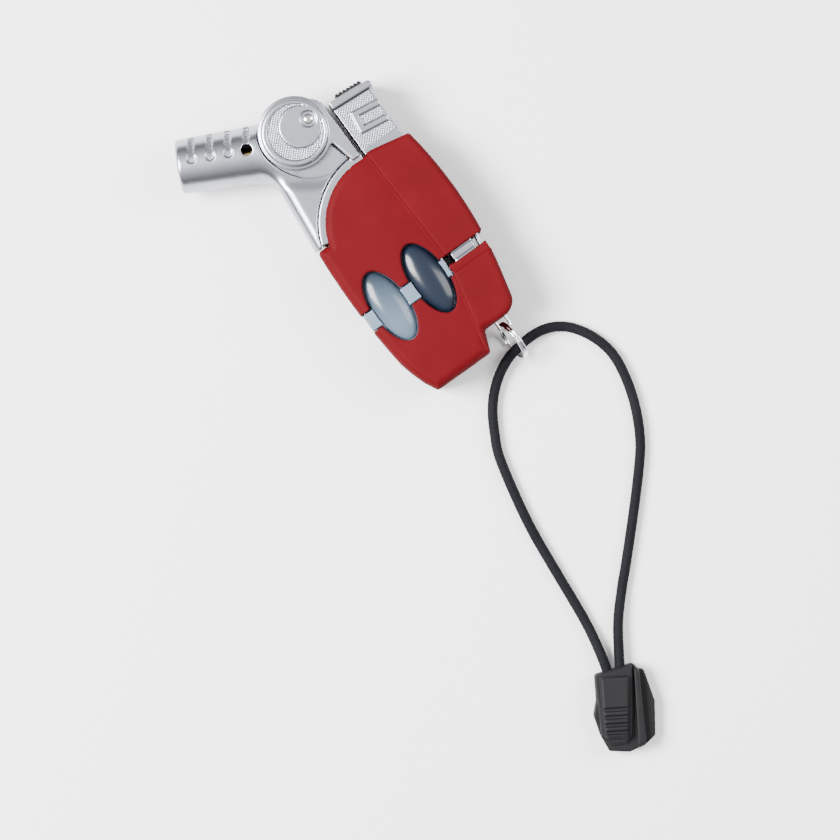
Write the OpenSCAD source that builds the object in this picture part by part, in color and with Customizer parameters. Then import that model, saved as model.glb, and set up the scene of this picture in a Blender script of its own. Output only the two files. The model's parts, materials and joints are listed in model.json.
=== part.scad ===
// Pocket butane torch: a flat handle with a pivoting burner head and a wrist lanyard.
// It lies on its back. The origin is on the flat back face, +Y points to the head, +Z up.

/* [Handle] */
// Thickness over the two flat faces
body_t = 18; // [15:0.5:22]
// From the origin to the left edge
left_w = 20.6; // [20:0.2:23]
// From the origin to the right edge
right_w = 22.6; // [22:0.2:25]
// From the origin to the closed end
tail_l = 34; // [32:0.5:42]
// From the origin to the burner pivot
pivot_y = 50; // [49:0.5:54]
// Wall of the outer shells
shell_wall = 1.2; // [1:0.1:1.5]
// Wall of the metal chassis
chassis_wall = 1.2; // [1:0.1:1.4]

/* [Tank] */
// Width of one window
window_w = 10; // [8:0.5:11]
// Length of one window
window_l = 22; // [16:0.5:26]
// Wall of the fuel tank
tank_wall = 1.2; // [1:0.1:1.6]
// Width of the strap across the windows
strap_w = 5.2; // [4:0.2:6]
// Bore of the filling port
port_d = 3.8; // [3:0.1:4.4]

/* [Burner] */
// Length of the burner tube from its root to its mouth
tube_l = 25; // [22:0.5:32]
// Wall of the burner housing at the mouth
tube_wall = 1.4; // [1.2:0.1:1.8]
// Thickness of the head between the two ears
knuckle_t = 12.6; // [11:0.2:13]
// Diameter of the gas stem that the head turns on
stem_d = 4; // [3.4:0.1:5]

/* [Ignition] */
// Travel of the ignition button
button_stroke = 3.5; // [2:0.5:4]
// Travel of the safety slide
lock_stroke = 2; // [1:0.5:2.5]

/* [Lanyard] */
// Outside diameter of the split ring
ring_d = 12.4; // [11:0.2:15]
// Wire of the split ring
ring_wire = 0.9; // [0.7:0.1:1]
// Diameter of the elastic cord
cord_d = 3; // [2.4:0.1:3]

/* [Hidden] */
$fn = 48;

// Clearances
fit = 0.1;
free = 0.3;
eps = 0.01;

// Levels of the front half; the back half mirrors it in the middle plane
mid_z = body_t / 2;
shell_in = body_t - shell_wall;
chassis_out = shell_in - fit;
chassis_in = chassis_out - chassis_wall;
inner_half = chassis_in - mid_z;
edge_step = 0.8;
red = [0.62, 0.12, 0.16];
silver = [0.75, 0.76, 0.78];
steel = [0.82, 0.82, 0.84];
smoke = [0.35, 0.42, 0.5];
brass = [0.78, 0.6, 0.3];
black = [0.12, 0.12, 0.13];

// Outline of the handle, counter-clockwise, with a shoulder arc that the neck of the head follows
shoulder_c = [4, 11];
shoulder_r = 21.8;
band_r = shoulder_r + 1.3;
shoulder_top = 33;
left_top = 17.6;
block_end = tail_l - 6.3;
corner_r = 5;
top_right_y = 30.3;
function right_x(y) = right_w - pow(y - 10.5, 2) / 240;
function left_x(y) = -left_w + pow(y - 2, 2) / 400;
function polar(c, r, a) = c + r * [cos(a), sin(a)];
function arc(c, r, a0, a1, n) = [for (i = [0:n]) polar(c, r, a0 + (a1 - a0) * i / n)];
function outline() = concat(
    [[-14.8, -tail_l], [3.5, -tail_l], [5.6, -tail_l + 5.6], [6.4, -block_end]],
    arc([right_x(-block_end + corner_r) - corner_r, -block_end + corner_r], corner_r, -90, -8, 6),
    [for (y = [-16:6.6:top_right_y - 4]) [right_x(y), y]],
    [[right_x(top_right_y), top_right_y], [7.6, shoulder_top]],
    arc(shoulder_c, shoulder_r, 82, 162.5, 10),
    [[left_x(left_top), left_top]],
    [for (i = [0:4]) let (y = 10 - i * (tail_l - 2) / 4) [left_x(y), y]]
);

// The same outline with every edge moved inwards by d
function edge_dir(a, b) = (b - a) / norm(b - a);
function inset_point(a, b, c, d) =
    let (u = edge_dir(a, b), v = edge_dir(b, c), n = [-u.y, u.x], m = [-v.y, v.x])
    b + d * (n + m) / (1 + n * m);
function inset(p, d) = let (k = len(p))
    [for (i = [0:k - 1]) inset_point(p[(i + k - 1) % k], p[i], p[(i + 1) % k], d)];
function ellipse(c, a, b, n = 40) = [for (i = [0:n - 1]) c + [a * cos(360 * i / n), b * sin(360 * i / n)]];

// Windows, the strap between them and the slot across the right block
window_y = -6.6;
left_window = [-12, window_y];
right_window = [1.5, window_y];
strap_y = -7.1;
split_y0 = strap_y - strap_w / 2 - free;
split_y1 = strap_y + strap_w / 2 + free;
block_x = 8;
lip_y = -7;
lens_r = 13;
lens_long_r = 60;
lens_top = body_t - 0.2;

// Pivot, ears and disc boss
pivot = [0, pivot_y];
disc_c = pivot + [-5.4, -1];
disc_r = 9.6;
flange_r = disc_r + 1;
ear_in = mid_z + knuckle_t / 2 + fit;
ear_out = body_t - 0.8;
recess_depth = 0.5;
screw_d = 1.6;
screw_head_d = 3;
counterbore_d = 4.6;
pivot_head_t = 0.8;
pivot_screw_l = 2.6;

// Burner head
tube_root = pivot + [-15.55, -0.1];
tube_angle = 153.5;
root_d = body_t - 0.7;
mouth_d = body_t - 2.6;
bore_d = mouth_d - 2 * tube_wall;
neck_half = mid_z - 1.5;
hollow_half = knuckle_t / 2 - 1.4;
neck_gap = 0.25;
knuckle_r = 6;
sweep_r = norm(disc_c - pivot) + flange_r + 0.35;
flame_d = bore_d - 2 * fit;
flame_wall = 0.5;
insert_d = flame_d - 2 * flame_wall - 2 * fit;
mouth_recess = 1;
flame_tube_l = 14;
plate_s = tube_l - 9;
plate_t = 2;
mixing_d = 4;
mixing_l = 9;
jet_l = 4;
jet_s = plate_s - mixing_l - jet_l - fit;
pipe_d = 1.8;
electrode_d = 0.8;
insulator_d = 1.7;
electrode_off = (mixing_d + insert_d) / 4;
air_hole_d = 3.2;
air_s = 4.8;
air_off = -1.2;
stem_z = mid_z - 1.6;
jet_z = mid_z + 0.6;
union_r = 3.5;
pipe_z = mid_z - 3.3;
seal_z = [mid_z - 0.8, mid_z + 2.6];
seal_wire = 0.8;
seal_r = stem_d / 2 - 0.37;

// Ignition button and piezo unit
button_x0 = 7.2;
button_x1 = right_x(top_right_y) - shell_wall - free;
button_half = inner_half - 0.2;
button_wall = 1.2;
button_top = pivot_y - 2;
button_bottom = 25;
cap_t = 2.4;
piezo_x = button_x0 + 5.4;
piezo_w = 7;
lock_l = button_x1 - button_x0 - lock_stroke - 1.5;
lock_half = 4;
tooth_pitch = 1.2;
piezo_y0 = 4;
piezo_y1 = 32;
plunger_w = 5;
plunger_in = 6;

// Fuel tank
tank_x0 = -17;
tank_x1 = 7.2;
tank_y0 = -block_end + shell_wall + chassis_wall + 2 * fit;
tank_y1 = 10;
tank_half = inner_half - fit;
fill_x = -6;
adjuster_x = 0;
valve_d = 5;
seal_d = 1;
outlet_x = -3.5;
lever_pivot = [-0.5, 27];

// Case screws: x, y of each one
case_screw_at = [[14, -17], [right_w - 4.5, 8], [-15.2, 13.6], [-12.6, -tail_l + 4.2]];
case_screw_d = 1.8;
boss_d = 3.6;
case_head_t = 0.8;

// Lanyard
lug_wire = 0.9;
lug_c = [11.4, -block_end];
lug_w = 4.2;
lug_out = 3.8;
lug_in = 3.4;
ring_lean = 12;
ring_r = ring_d / 2;
ring_pitch = ring_wire * 0.92;
ring_lift = ring_r * cos(ring_lean) + (ring_pitch + ring_wire) / 2 * sin(ring_lean);
bar_y = -block_end - lug_out + lug_wire / 2;
bar_reach = ring_r - ring_wire - lug_wire / 2 - 0.2;
ring_y = bar_y - sqrt(pow(bar_reach, 2) - pow(mid_z - ring_lift, 2));
cord_shift = [0, 27.7 - block_end, 0];
clip_at = [-21, -128];
clip_turn = -32;
clip_h = 7;
tongue_h = 8.8;
cord_z = 3;
cord_u = [-1.4, 2.4];
cord_route = [
    [-24.3, -130.6, 3], [-22.3, -127.4, 3], [-20.4, -120, 2], [-19, -111.5, 1.5], [-17.8, -98, 1.5],
    [-16.5, -84, 1.5], [-14.7, -73, 1.5], [-11.7, -60, 1.5], [-8.8, -53.5, 1.5], [-5.6, -48, 1.6],
    [-2, -43.8, 1.9], [2.4, -40.4, 2.6], [7, -38.2, 3.6], [11.3, -37.3, 4.1], [16.5, -36.9, 3.3],
    [21.2, -37.7, 2.2], [25, -39.8, 1.6], [28, -43, 1.5], [30.6, -47.8, 1.5], [32, -53, 1.5],
    [32, -58, 1.5], [30.8, -64.2, 1.5], [28.6, -70.8, 1.5], [25.3, -77.5, 1.5], [21.5, -83, 1.5],
    [13, -92.5, 1.5], [1, -105, 1.5], [-5.5, -111.5, 1.6], [-12, -118.8, 2.2], [-18.4, -128.4, 3],
    [-21.1, -132.7, 3],
];

// Helpers
module slab(z0, z1) translate([0, 0, z0]) linear_extrude(z1 - z0) children();
module box2d(a, b) translate(a) square(b - a);
module box2(a, b, z0, z1) translate([a.x, a.y, z0]) cube([b.x - a.x, b.y - a.y, z1 - z0]);
module at_back() translate([0, 0, body_t]) mirror([0, 0, 1]) children();
module rod(a, b, d) {
    v = b - a;
    translate(a) rotate([0, acos(v.z / norm(v)), atan2(v.y, v.x)]) cylinder(h = norm(v), d = d);
}
module in_tube(s) translate([tube_root.x, tube_root.y, mid_z]) rotate([0, 0, tube_angle]) rotate([0, 90, 0])
    translate([0, 0, s]) children();
module along_y(p, z = mid_z) translate([p.x, p.y, z]) rotate([-90, 0, 0]) children();
module ring_of(r, d) rotate_extrude() translate([r, 0]) circle(d = d, $fn = 24);
module coil(r, l, turns, wire) {
    sides = 6;
    steps = turns * 16;
    points = [
        for (i = [0:steps], k = [0:sides - 1])
            let (a = 360 * turns * i / steps, q = r + wire / 2 * cos(360 * k / sides))
            [q * cos(a), q * sin(a), wire / 2 + (l - wire) * i / steps + wire / 2 * sin(360 * k / sides)]
    ];
    skin = [
        for (i = [0:steps - 1], k = [0:sides - 1])
            let (a = i * sides + k, b = i * sides + (k + 1) % sides) [a, a + sides, b + sides, b]
    ];
    ends = [[for (k = [0:sides - 1]) k], [for (k = [sides - 1:-1:0]) steps * sides + k]];
    polyhedron(points, concat(skin, ends), convexity = 8);
}

// Handle shells
module windows(grow) for (c = [left_window, right_window])
    polygon(ellipse(c, window_w / 2 + grow, window_l / 2 + grow));
module shell_opening() polygon([
    [-16.6, 12], [8, 18], [button_x1 + free, 26], [button_x1 + free, 40], [-16.6, 40]
]);
module case_screw_holes(d, z0, z1) {
    for (p = case_screw_at)
        translate([p.x, p.y, z0]) cylinder(h = z1 - z0, d = d);
}
module lug_hole() {
    for (side = [-1, 1]) {
        x = lug_c.x + side * (lug_w - lug_wire) / 2;
        rod([x, -block_end - 1, mid_z], [x, -block_end + lug_in + 0.6, mid_z], lug_wire + 2 * fit);
    }
}
module end_port(x, d) rod([x, -tail_l - 1, mid_z], [x, tank_y0, mid_z], d);
module half_shell() {
    difference() {
        union() {
            slab(mid_z, body_t - edge_step) polygon(outline());
            slab(body_t - edge_step, body_t) polygon(inset(outline(), edge_step));
        }
        slab(mid_z - 1, shell_in) polygon(inset(outline(), shell_wall));
        slab(mid_z - 1, shell_in) shell_opening();
        slab(mid_z, body_t + 1) windows(free + 0.1);
        box2([-left_w - 1, split_y0], [block_x, split_y1], mid_z - 1, body_t + 1);
        lug_hole();
        end_port(fill_x, valve_d + 2 * fit);
        end_port(adjuster_x, valve_d - 1);
        children();
    }
}
module upper_shell() intersection() {
    half_shell() children();
    box2([-left_w - 1, split_y1], [right_w + 1, shoulder_top + 2], mid_z, body_t);
}
module lower_shell() difference() {
    intersection() {
        half_shell() children();
        box2([-left_w - 1, -tail_l - 1], [right_w + 1, lip_y], mid_z, body_t);
    }
    box2([block_x - 1, lip_y - 2.7], [right_w + 1, lip_y + 1], body_t - edge_step / 2, body_t + 1);
    box2([right_x(lip_y) - 1, lip_y - 2.7], [right_w + 1, lip_y + 1], mid_z - 1, body_t + 1);
}
module upper_front_shell() color(red) upper_shell();
module lower_front_shell() color(red) lower_shell();
module upper_back_shell() color(red) at_back() upper_shell() case_screw_holes(boss_d, mid_z, body_t + 1);
module lower_back_shell() color(red) at_back() lower_shell() case_screw_holes(boss_d, mid_z, body_t + 1);

// Chassis halves, each with its ear and disc boss
module ear_plan() {
    translate(disc_c) circle(r = flange_r, $fn = 96);
    polygon([
        pivot + [-3, 2], pivot + [3.1, 2.9], pivot + [5.8, 1.9], [6, shoulder_top],
        [3.4, shoulder_top], pivot + [1.6, -9.6], pivot + [-6, -11.5],
    ]);
}
module crescent() difference() {
    translate(disc_c + [0.3, 0]) circle(r = 8, $fn = 96);
    translate(disc_c + [2.2, 0.5]) circle(r = 6.1, $fn = 96);
}
module chassis_plate() {
    intersection() {
        polygon(inset(outline(), shell_wall + fit));
        box2d([-left_w, -tail_l], [right_w, shoulder_top]);
    }
    intersection() {
        polygon(concat([shoulder_c], arc(shoulder_c, 40, 84, 161, 4)));
        translate(shoulder_c) circle(r = band_r, $fn = 144);
    }
    box2d([3.4, shoulder_top - 4], [6, shoulder_top + 1]);
}
module half_chassis() {
    difference() {
        union() {
            slab(chassis_in, chassis_out) chassis_plate();
            slab(mid_z, chassis_in) difference() {
                polygon(inset(outline(), shell_wall + fit));
                polygon(inset(outline(), shell_wall + fit + chassis_wall));
                shell_opening();
                box2d([8, button_bottom - button_stroke - free], [right_w + 1, 40]);
                box2d([5, 20], [right_w - 8, 40]);
            }
            slab(mid_z, chassis_out) shoulder_wall();
            slab(ear_in, ear_out) ear_plan();
            translate([disc_c.x, disc_c.y, ear_out - eps])
                cylinder(h = body_t - ear_out + eps, r = disc_r, $fn = 96);
            for (p = case_screw_at) translate([p.x, p.y, mid_z]) cylinder(h = inner_half + eps, d = boss_d);
            box2([block_x + 2.3, lip_y + free], [right_w - 5, split_y1 - 0.5], chassis_out - eps, body_t - 1);
            box2([piezo_x - 3, piezo_y0 - 1.5], [piezo_x + 3, piezo_y0 - fit], mid_z, chassis_in + eps);
        }
        slab(body_t - recess_depth, body_t + 1) crescent();
        translate([pivot.x, pivot.y, body_t - pivot_head_t]) cylinder(h = 2, d = counterbore_d);
        translate([pivot.x, pivot.y, ear_in - 1]) cylinder(h = body_t, d = screw_d + fit);
        slab(mid_z, body_t) windows(free);
        box2([-left_w - 1, split_y0], [tank_x0 + 2, split_y1], mid_z - 1, body_t);
        box2([-11, split_y0], [1, split_y1], mid_z - 1, body_t);
        lug_hole();
        end_port(fill_x, valve_d + 2 * fit);
        end_port(adjuster_x, valve_d - 1);
        children();
    }
}
module shoulder_wall() intersection() {
    difference() {
        translate(shoulder_c) circle(r = band_r, $fn = 144);
        translate(shoulder_c) circle(r = shoulder_r + fit, $fn = 144);
    }
    polygon(concat([shoulder_c], arc(shoulder_c, 40, 104, 161, 3)));
}
module front_chassis() color(silver) half_chassis() case_screw_holes(case_screw_d, mid_z - 1, chassis_in - 1);
module back_web() slab(ear_in, ear_out) polygon([
    pivot + [-6, -11.4], pivot + [-4.6, -15.2], [3.4, shoulder_top + 1], pivot + [1.6, -9.6],
]);
module back_chassis() color(silver) at_back() {
    half_chassis() {
        case_screw_holes(case_screw_d + fit, mid_z - 1, body_t);
        case_screw_holes(boss_d - fit, chassis_out - case_head_t, body_t);
    }
    back_web();
}
module case_screws() color(steel) for (p = case_screw_at) translate([p.x, p.y, 0]) {
    head_z = body_t - chassis_out;
    shank_z = head_z + case_head_t;
    translate([0, 0, head_z]) difference() {
        cylinder(h = case_head_t, d = boss_d - free);
        translate([0, 0, 0.25]) cube([0.7, boss_d + 1, 0.6], center = true);
    }
    translate([0, 0, shank_z - eps]) cylinder(h = mid_z + 3.5 - shank_z, d = case_screw_d);
}
module pivot_screw() {
    intersection() {
        translate([0, 0, 0.1]) cylinder(h = pivot_head_t - 0.1, d = screw_head_d);
        translate([0, 0, screw_head_d]) sphere(r = screw_head_d, $fn = 64);
    }
    translate([0, 0, pivot_head_t - eps])
        cylinder(h = body_t - ear_in + pivot_screw_l - pivot_head_t, d = screw_d);
}
module pivot_screws() color(steel) for (side = [0, 1])
    translate([pivot.x, pivot.y, side * body_t]) mirror([0, 0, side]) pivot_screw();
module lanyard_lug() color(steel) {
    x0 = lug_c.x - (lug_w - lug_wire) / 2;
    x1 = lug_c.x + (lug_w - lug_wire) / 2;
    y0 = bar_y;
    y1 = -block_end + lug_in;
    loop = [[x0, y0, mid_z], [x1, y0, mid_z], [x1, y1, mid_z], [x0, y1, mid_z]];
    for (i = [0:3]) {
        rod(loop[i], loop[(i + 1) % 4], lug_wire);
        translate(loop[i]) sphere(d = lug_wire, $fn = 24);
    }
}

// Fuel tank halves with the bulging windows and the strap
module lens() intersection() {
    slab(mid_z, lens_top) windows(0);
    union() for (c = [left_window, right_window]) intersection() {
        translate([c.x, c.y, lens_top - lens_r]) rotate([90, 0, 0])
            cylinder(h = window_l + 2, r = lens_r, center = true, $fn = 96);
        translate([c.x, c.y, lens_top - lens_long_r]) rotate([0, 90, 0])
            cylinder(h = window_w + 2, r = lens_long_r, center = true, $fn = 180);
    }
}
module tank_plan(d) polygon([
    [tank_x0 + 2.6 + d, tank_y0 + d], [tank_x1 - d, tank_y0 + d], [tank_x1 - d, tank_y1 - d],
    [tank_x0 + d, tank_y1 - d], [tank_x0 + d, tank_y0 + 8],
]);
module strap(x0, x1, z0, z1) box2([x0, strap_y - strap_w / 2], [x1, strap_y + strap_w / 2], z0, z1);
module half_tank() difference() {
    union() {
        slab(mid_z, mid_z + tank_half) tank_plan(0);
        lens();
        strap(-left_w + 0.5, tank_x0 + 1, mid_z + 1, body_t - 0.8);
        strap(-11, 0.5, mid_z + tank_half - eps, body_t - 0.6);
        strap(4, block_x - free, chassis_out + fit, body_t - 0.8);
    }
    slab(mid_z - 1, mid_z + tank_half - tank_wall) tank_plan(tank_wall);
    along_y([fill_x, tank_y0 - 1]) cylinder(h = tank_wall + 2, d = valve_d - 1 + fit);
    along_y([outlet_x, tank_y1 - tank_wall - 1]) cylinder(h = tank_wall + 2, d = valve_d - 1 + fit);
}
module front_tank_half() color(smoke) half_tank();
module back_tank_half() color(smoke) at_back() half_tank();

// Filling valve in the closed end
module fill_valve_body() color(brass) difference() {
    union() {
        along_y([fill_x, -tail_l + 0.3]) cylinder(h = tank_y0 + tail_l - 0.3, d = valve_d);
        along_y([fill_x, tank_y0 - eps]) cylinder(h = tank_wall + 2, d = valve_d - 1);
    }
    along_y([fill_x, -tail_l - 1]) cylinder(h = 4.3, d = port_d);
    along_y([fill_x, -tail_l]) cylinder(h = 7, d = 1.8);
    along_y([fill_x, -tail_l + 5]) cylinder(h = 4.6, d = 3);
    along_y([fill_x, -tail_l]) cylinder(h = 20, d = 1.4);
}
module valve_seal() ring_of((valve_d - 1 + seal_d) / 2 + fit / 2, seal_d);
module fill_valve_seal() color(black) along_y([fill_x, tank_y0 + tank_wall + seal_d / 2]) valve_seal();
module fill_valve_stem() color(steel) {
    along_y([fill_x, -tail_l + 3.4]) cylinder(h = 2, d = 1.5);
    along_y([fill_x, -tail_l + 5.2]) cylinder(h = 1, d = 2.7);
}
module fill_valve_spring() color(steel) along_y([fill_x, -tail_l + 6.3]) coil(1.05, 3.2, 4, 0.4);

// Outlet valve, lever and gas line
module outlet_valve_body() color(brass) difference() {
    union() {
        along_y([outlet_x, tank_y1 - tank_wall - 2]) cylinder(h = tank_wall + 2, d = valve_d - 1);
        along_y([outlet_x, tank_y1]) cylinder(h = 12, d = valve_d);
        box2([outlet_x - 2, tank_y1 + 1], [outlet_x + 2.2, tank_y1 + 5], mid_z - 4.6, mid_z);
    }
    along_y([outlet_x, tank_y1 - 5]) cylinder(h = 7, d = 1.2);
    along_y([outlet_x, tank_y1 + 1.6]) cylinder(h = 20, d = 1.8);
    along_y([outlet_x, tank_y1 + 5]) cylinder(h = 5.4, d = 3.4);
    translate([outlet_x, tank_y1 + 3, pipe_z]) rotate([0, 90, 0]) cylinder(h = 4, d = pipe_d + 4 * fit);
    translate([outlet_x, tank_y1 + 3, pipe_z]) cylinder(h = mid_z - pipe_z, d = 1);
}
module outlet_valve_seal() color(black)
    along_y([outlet_x, tank_y1 - tank_wall - (seal_d + fit) / 2]) valve_seal();
module outlet_valve_stem() color(steel) {
    along_y([outlet_x, tank_y1 + 2.2]) cylinder(h = 16, d = 1.5);
    along_y([outlet_x, tank_y1 + 5.4]) cylinder(h = 1, d = 3);
    along_y([outlet_x, tank_y1 + 17.4]) cylinder(h = 1, d = 2.6);
}
module outlet_valve_spring() color(steel) along_y([outlet_x, tank_y1 + 6.5]) coil(1.2, 3.7, 5, 0.4);
module valve_lever() color(steel) difference() {
    union() {
        slab(mid_z - 1, mid_z + 3) polygon([
            [outlet_x - 1.4, 25.4], [outlet_x + 1.6, 25.4], lever_pivot + [0, -1.6], [button_x0 - free, 27.6],
            [button_x0 - free, 28.4], lever_pivot + [0, 1.6], [outlet_x + 1.6, 26.6], [outlet_x - 1.4, 26.6],
        ]);
        translate([lever_pivot.x, lever_pivot.y, mid_z - 1]) cylinder(h = 4, d = 3.2);
    }
    translate([lever_pivot.x, lever_pivot.y, mid_z - 3]) cylinder(h = 8, d = 1.6);
    box2([outlet_x - 2, 25], [outlet_x + 1.4, 28], mid_z - 1.1, mid_z + 1.1);
}
module lever_pin() color(steel)
    translate([lever_pivot.x, lever_pivot.y, mid_z - inner_half]) cylinder(h = 2 * inner_half, d = 1.5);
module gas_pipe() color(brass) sweep_tube(smooth_route([
    [outlet_x + 0.8, tank_y1 + 3, pipe_z], [outlet_x + 3, tank_y1 + 3.1, pipe_z],
    [1.6, tank_y1 + 4.6, pipe_z],
    [3, tank_y1 + 9, pipe_z],
    [3, pivot_y - 10, pipe_z], [1.6, pivot_y - 5, pipe_z], [0.9, pivot_y - 1.8, pipe_z],
], 3), pipe_d, 12);
module gas_union() color(brass) difference() {
    union() {
        translate([pivot.x, pivot.y, body_t - ear_in]) cylinder(h = stem_z - (body_t - ear_in), r = union_r);
        translate([pivot.x, pivot.y, stem_z - eps]) cylinder(h = ear_in - stem_z, d = stem_d);
    }
    for (side = [0, 1]) translate([pivot.x, pivot.y, side * body_t]) mirror([0, 0, side])
        translate([0, 0, body_t - ear_in - 1]) cylinder(h = pivot_screw_l + 1.2, d = screw_d);
    translate([pivot.x, pivot.y, body_t - ear_in + 1]) cylinder(h = knuckle_t - 4, d = 0.9);
    rod([1.6, pivot_y - 5, pipe_z], [0.85, pivot_y - 1.6, pipe_z], pipe_d + 2 * fit);
    translate([pivot.x, pivot.y, jet_z]) rotate([0, -90, 0]) cylinder(h = 4, d = 0.9);
    for (z = seal_z) translate([pivot.x, pivot.y, z]) ring_of(seal_r, seal_wire + fit);
}
module union_seals() color(black)
    for (z = seal_z) translate([pivot.x, pivot.y, z]) ring_of(seal_r, seal_wire);

// Flame adjuster, a slotted screw in the closed end
module flame_adjuster() color(brass) difference() {
    union() {
        along_y([adjuster_x, -tail_l + 0.4]) cylinder(h = 4.6, d = valve_d - 1.6);
        along_y([adjuster_x, -tail_l + 5 - eps]) cylinder(h = tank_y0 + tail_l - 5, d = 1.8);
    }
    translate([adjuster_x, -tail_l, mid_z]) cube([0.8, 2.4, 4], center = true);
}

// Piezo unit, button and safety slide
module square_bar(x, y0, y1, w) box2([x - w / 2, y0], [x + w / 2, y1], mid_z - w / 2, mid_z + w / 2);
module square_tube(x, y0, y1, outer, inner) difference() {
    square_bar(x, y0, y1, outer);
    square_bar(x, y0 + (outer - inner) / 2 + 12, y1 + 1, inner);
}
module piezo_body() color(black) square_tube(piezo_x, piezo_y0, piezo_y1, piezo_w, plunger_w + 2 * fit);
module piezo_plunger() color("ivory") difference() {
    square_bar(piezo_x, piezo_y1 - plunger_in, button_top - button_wall - fit, plunger_w);
    along_y([piezo_x, piezo_y1 - plunger_in - 1]) cylinder(h = 5, d = 3.6);
}
module piezo_spring() color(steel) along_y([piezo_x, piezo_y0 + 13.2]) coil(1.4, 12.4, 9, 0.5);
module ignition_lead() color(black) sweep_tube(smooth_route([
    [piezo_x - piezo_w / 2 - 0.7, piezo_y0 + 4, mid_z + 3], [7.8, 12, mid_z + 4.2],
    [4.8, 20, mid_z + 4.7], [4.6, 31.2, mid_z + 4.7],
], 3), 1, 8);
module contact_leaf() color(brass) {
    box2([4.2, 31.6], [4.6, pivot_y - 4.4], mid_z + 1, mid_z + 4);
    box2([3.6, 31.6], [5.6, 31.9], mid_z + 1, mid_z + 4);
}
module button_plan(d) polygon([
    [button_x0 + d, button_bottom - d], [button_x1 - d, button_bottom - d],
    [button_x1 - d, button_top - 0.8 - d], [button_x0 + d, button_top - d],
]);
module ignition_button() color(silver) difference() {
    union() {
        slab(mid_z - button_half, mid_z + button_half) button_plan(0);
        box2([6.2, 29.2], [button_x0 + eps, 30.2], mid_z - 1, mid_z + 3);
    }
    slab(mid_z - button_half + button_wall, mid_z + button_half - button_wall) polygon([
        [button_x0 + button_wall, button_bottom - 1], [button_x1 - button_wall, button_bottom - 1],
        [button_x1 - button_wall, button_top - button_wall],
        [button_x0 + button_wall, button_top - button_wall],
    ]);
}
module button_cap() color(silver) slab(mid_z - button_half - 1.1, mid_z + button_half + 1.1) polygon([
    [button_x0, button_top + fit], [button_x1, button_top - 0.8 + fit],
    [button_x1 + 0.4, button_top - 0.8 + fit], [button_x1 + 1.2, button_top - 0.2 + fit],
    [button_x1 + 1.2, button_top + cap_t - 1.8], [button_x1 + 0.4, button_top + cap_t - 1],
    [button_x0, button_top + cap_t],
]);
module lock_slide() color(black) {
    slope = atan2(-1, button_x1 - button_x0);
    translate([button_x0 + 2.5, button_top + cap_t - 0.1, mid_z]) rotate([0, 0, slope]) {
        slab(-lock_half, lock_half) translate([0, fit]) square([lock_l, 0.5]);
        for (u = [0.15:tooth_pitch:lock_l - tooth_pitch])
            slab(-lock_half, lock_half) translate([u, fit + 0.5 - eps])
                polygon([[0, 0], [1.1, 0], [0.9, 0.8], [0.35, 0.8]]);
    }
}

// Burner head
module neck_plan() polygon(concat(
    [for (p = [[-1, 4], [-8, 5], [-16, 3], [-21, -4], [-18.6, -8.4], [-17.4, -11.6]]) pivot + p],
    [polar(shoulder_c, band_r + 2.4, 162.8)],
    [for (a = [162:-6:102]) polar(shoulder_c, band_r + neck_gap, a)],
    [polar(shoulder_c, band_r + neck_gap, 95), [2.9, shoulder_top + 1.6]],
    [pivot + [1.2, -9.4], pivot + [0, -5]]
));
module burner_housing() color(silver) difference() {
    union() {
        in_tube(-6) cylinder(h = tube_l + 6, d1 = root_d, d2 = mouth_d, $fn = 96);
        slab(mid_z - neck_half, mid_z + neck_half) neck_plan();
        translate([pivot.x, pivot.y, body_t - ear_in + fit]) cylinder(h = knuckle_t, r = knuckle_r);
    }
    for (side = [0, 1]) translate([0, 0, side * body_t]) mirror([0, 0, side])
        translate([pivot.x, pivot.y, -1]) cylinder(h = body_t - ear_in + fit + 1, r = sweep_r, $fn = 96);
    box2(pivot + [-4.3, -20], pivot + [8, 8], -1, stem_z + fit);
    translate([pivot.x, pivot.y, 0]) cylinder(h = body_t, d = stem_d + fit);
    in_tube(-2.5) cylinder(h = tube_l + 4, d = bore_d, $fn = 96);
    in_tube(air_s) translate([0, air_off, 0]) rotate([0, 90, 0])
        cylinder(h = root_d + 2, d = air_hole_d, center = true);
    slab(mid_z - hollow_half, mid_z + hollow_half) polygon(concat(
        [pivot + [-9, -5], pivot + [-15.6, -9], pivot + [-16, -12], polar(shoulder_c, band_r + 2.6, 155)],
        [for (a = [155:-6:125]) polar(shoulder_c, band_r + neck_gap + 1.4, a)]
    ));
    rod([pivot.x - stem_d / 2 + 0.4, pivot.y, jet_z], [tube_root.x, tube_root.y, mid_z + 0.3], pipe_d + 4 * fit);
    translate([pivot.x, pivot.y, mid_z + 3.6]) cylinder(h = 3, d = stem_d + 1.6);
}
module flame_tube() color(steel) in_tube(tube_l - mouth_recess - flame_tube_l) difference() {
    cylinder(h = flame_tube_l, d = flame_d, $fn = 96);
    translate([0, 0, -1]) cylinder(h = flame_tube_l + 2, d = flame_d - 2 * flame_wall, $fn = 96);
}
module electrode_hole(d) translate([0, electrode_off, -1]) cylinder(h = 30, d = d);
module flame_plate() color("gainsboro") in_tube(plate_s) difference() {
    cylinder(h = plate_t, d = insert_d, $fn = 96);
    translate([0, 0, -1]) cylinder(h = plate_t + 2, d = 2);
    for (i = [0:7])
        rotate([0, 0, 22.5 + 45 * i]) translate([insert_d / 2 - 1.1, 0, -1]) cylinder(h = plate_t + 2, d = 0.9);
    electrode_hole(insulator_d + 2 * fit);
}
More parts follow.
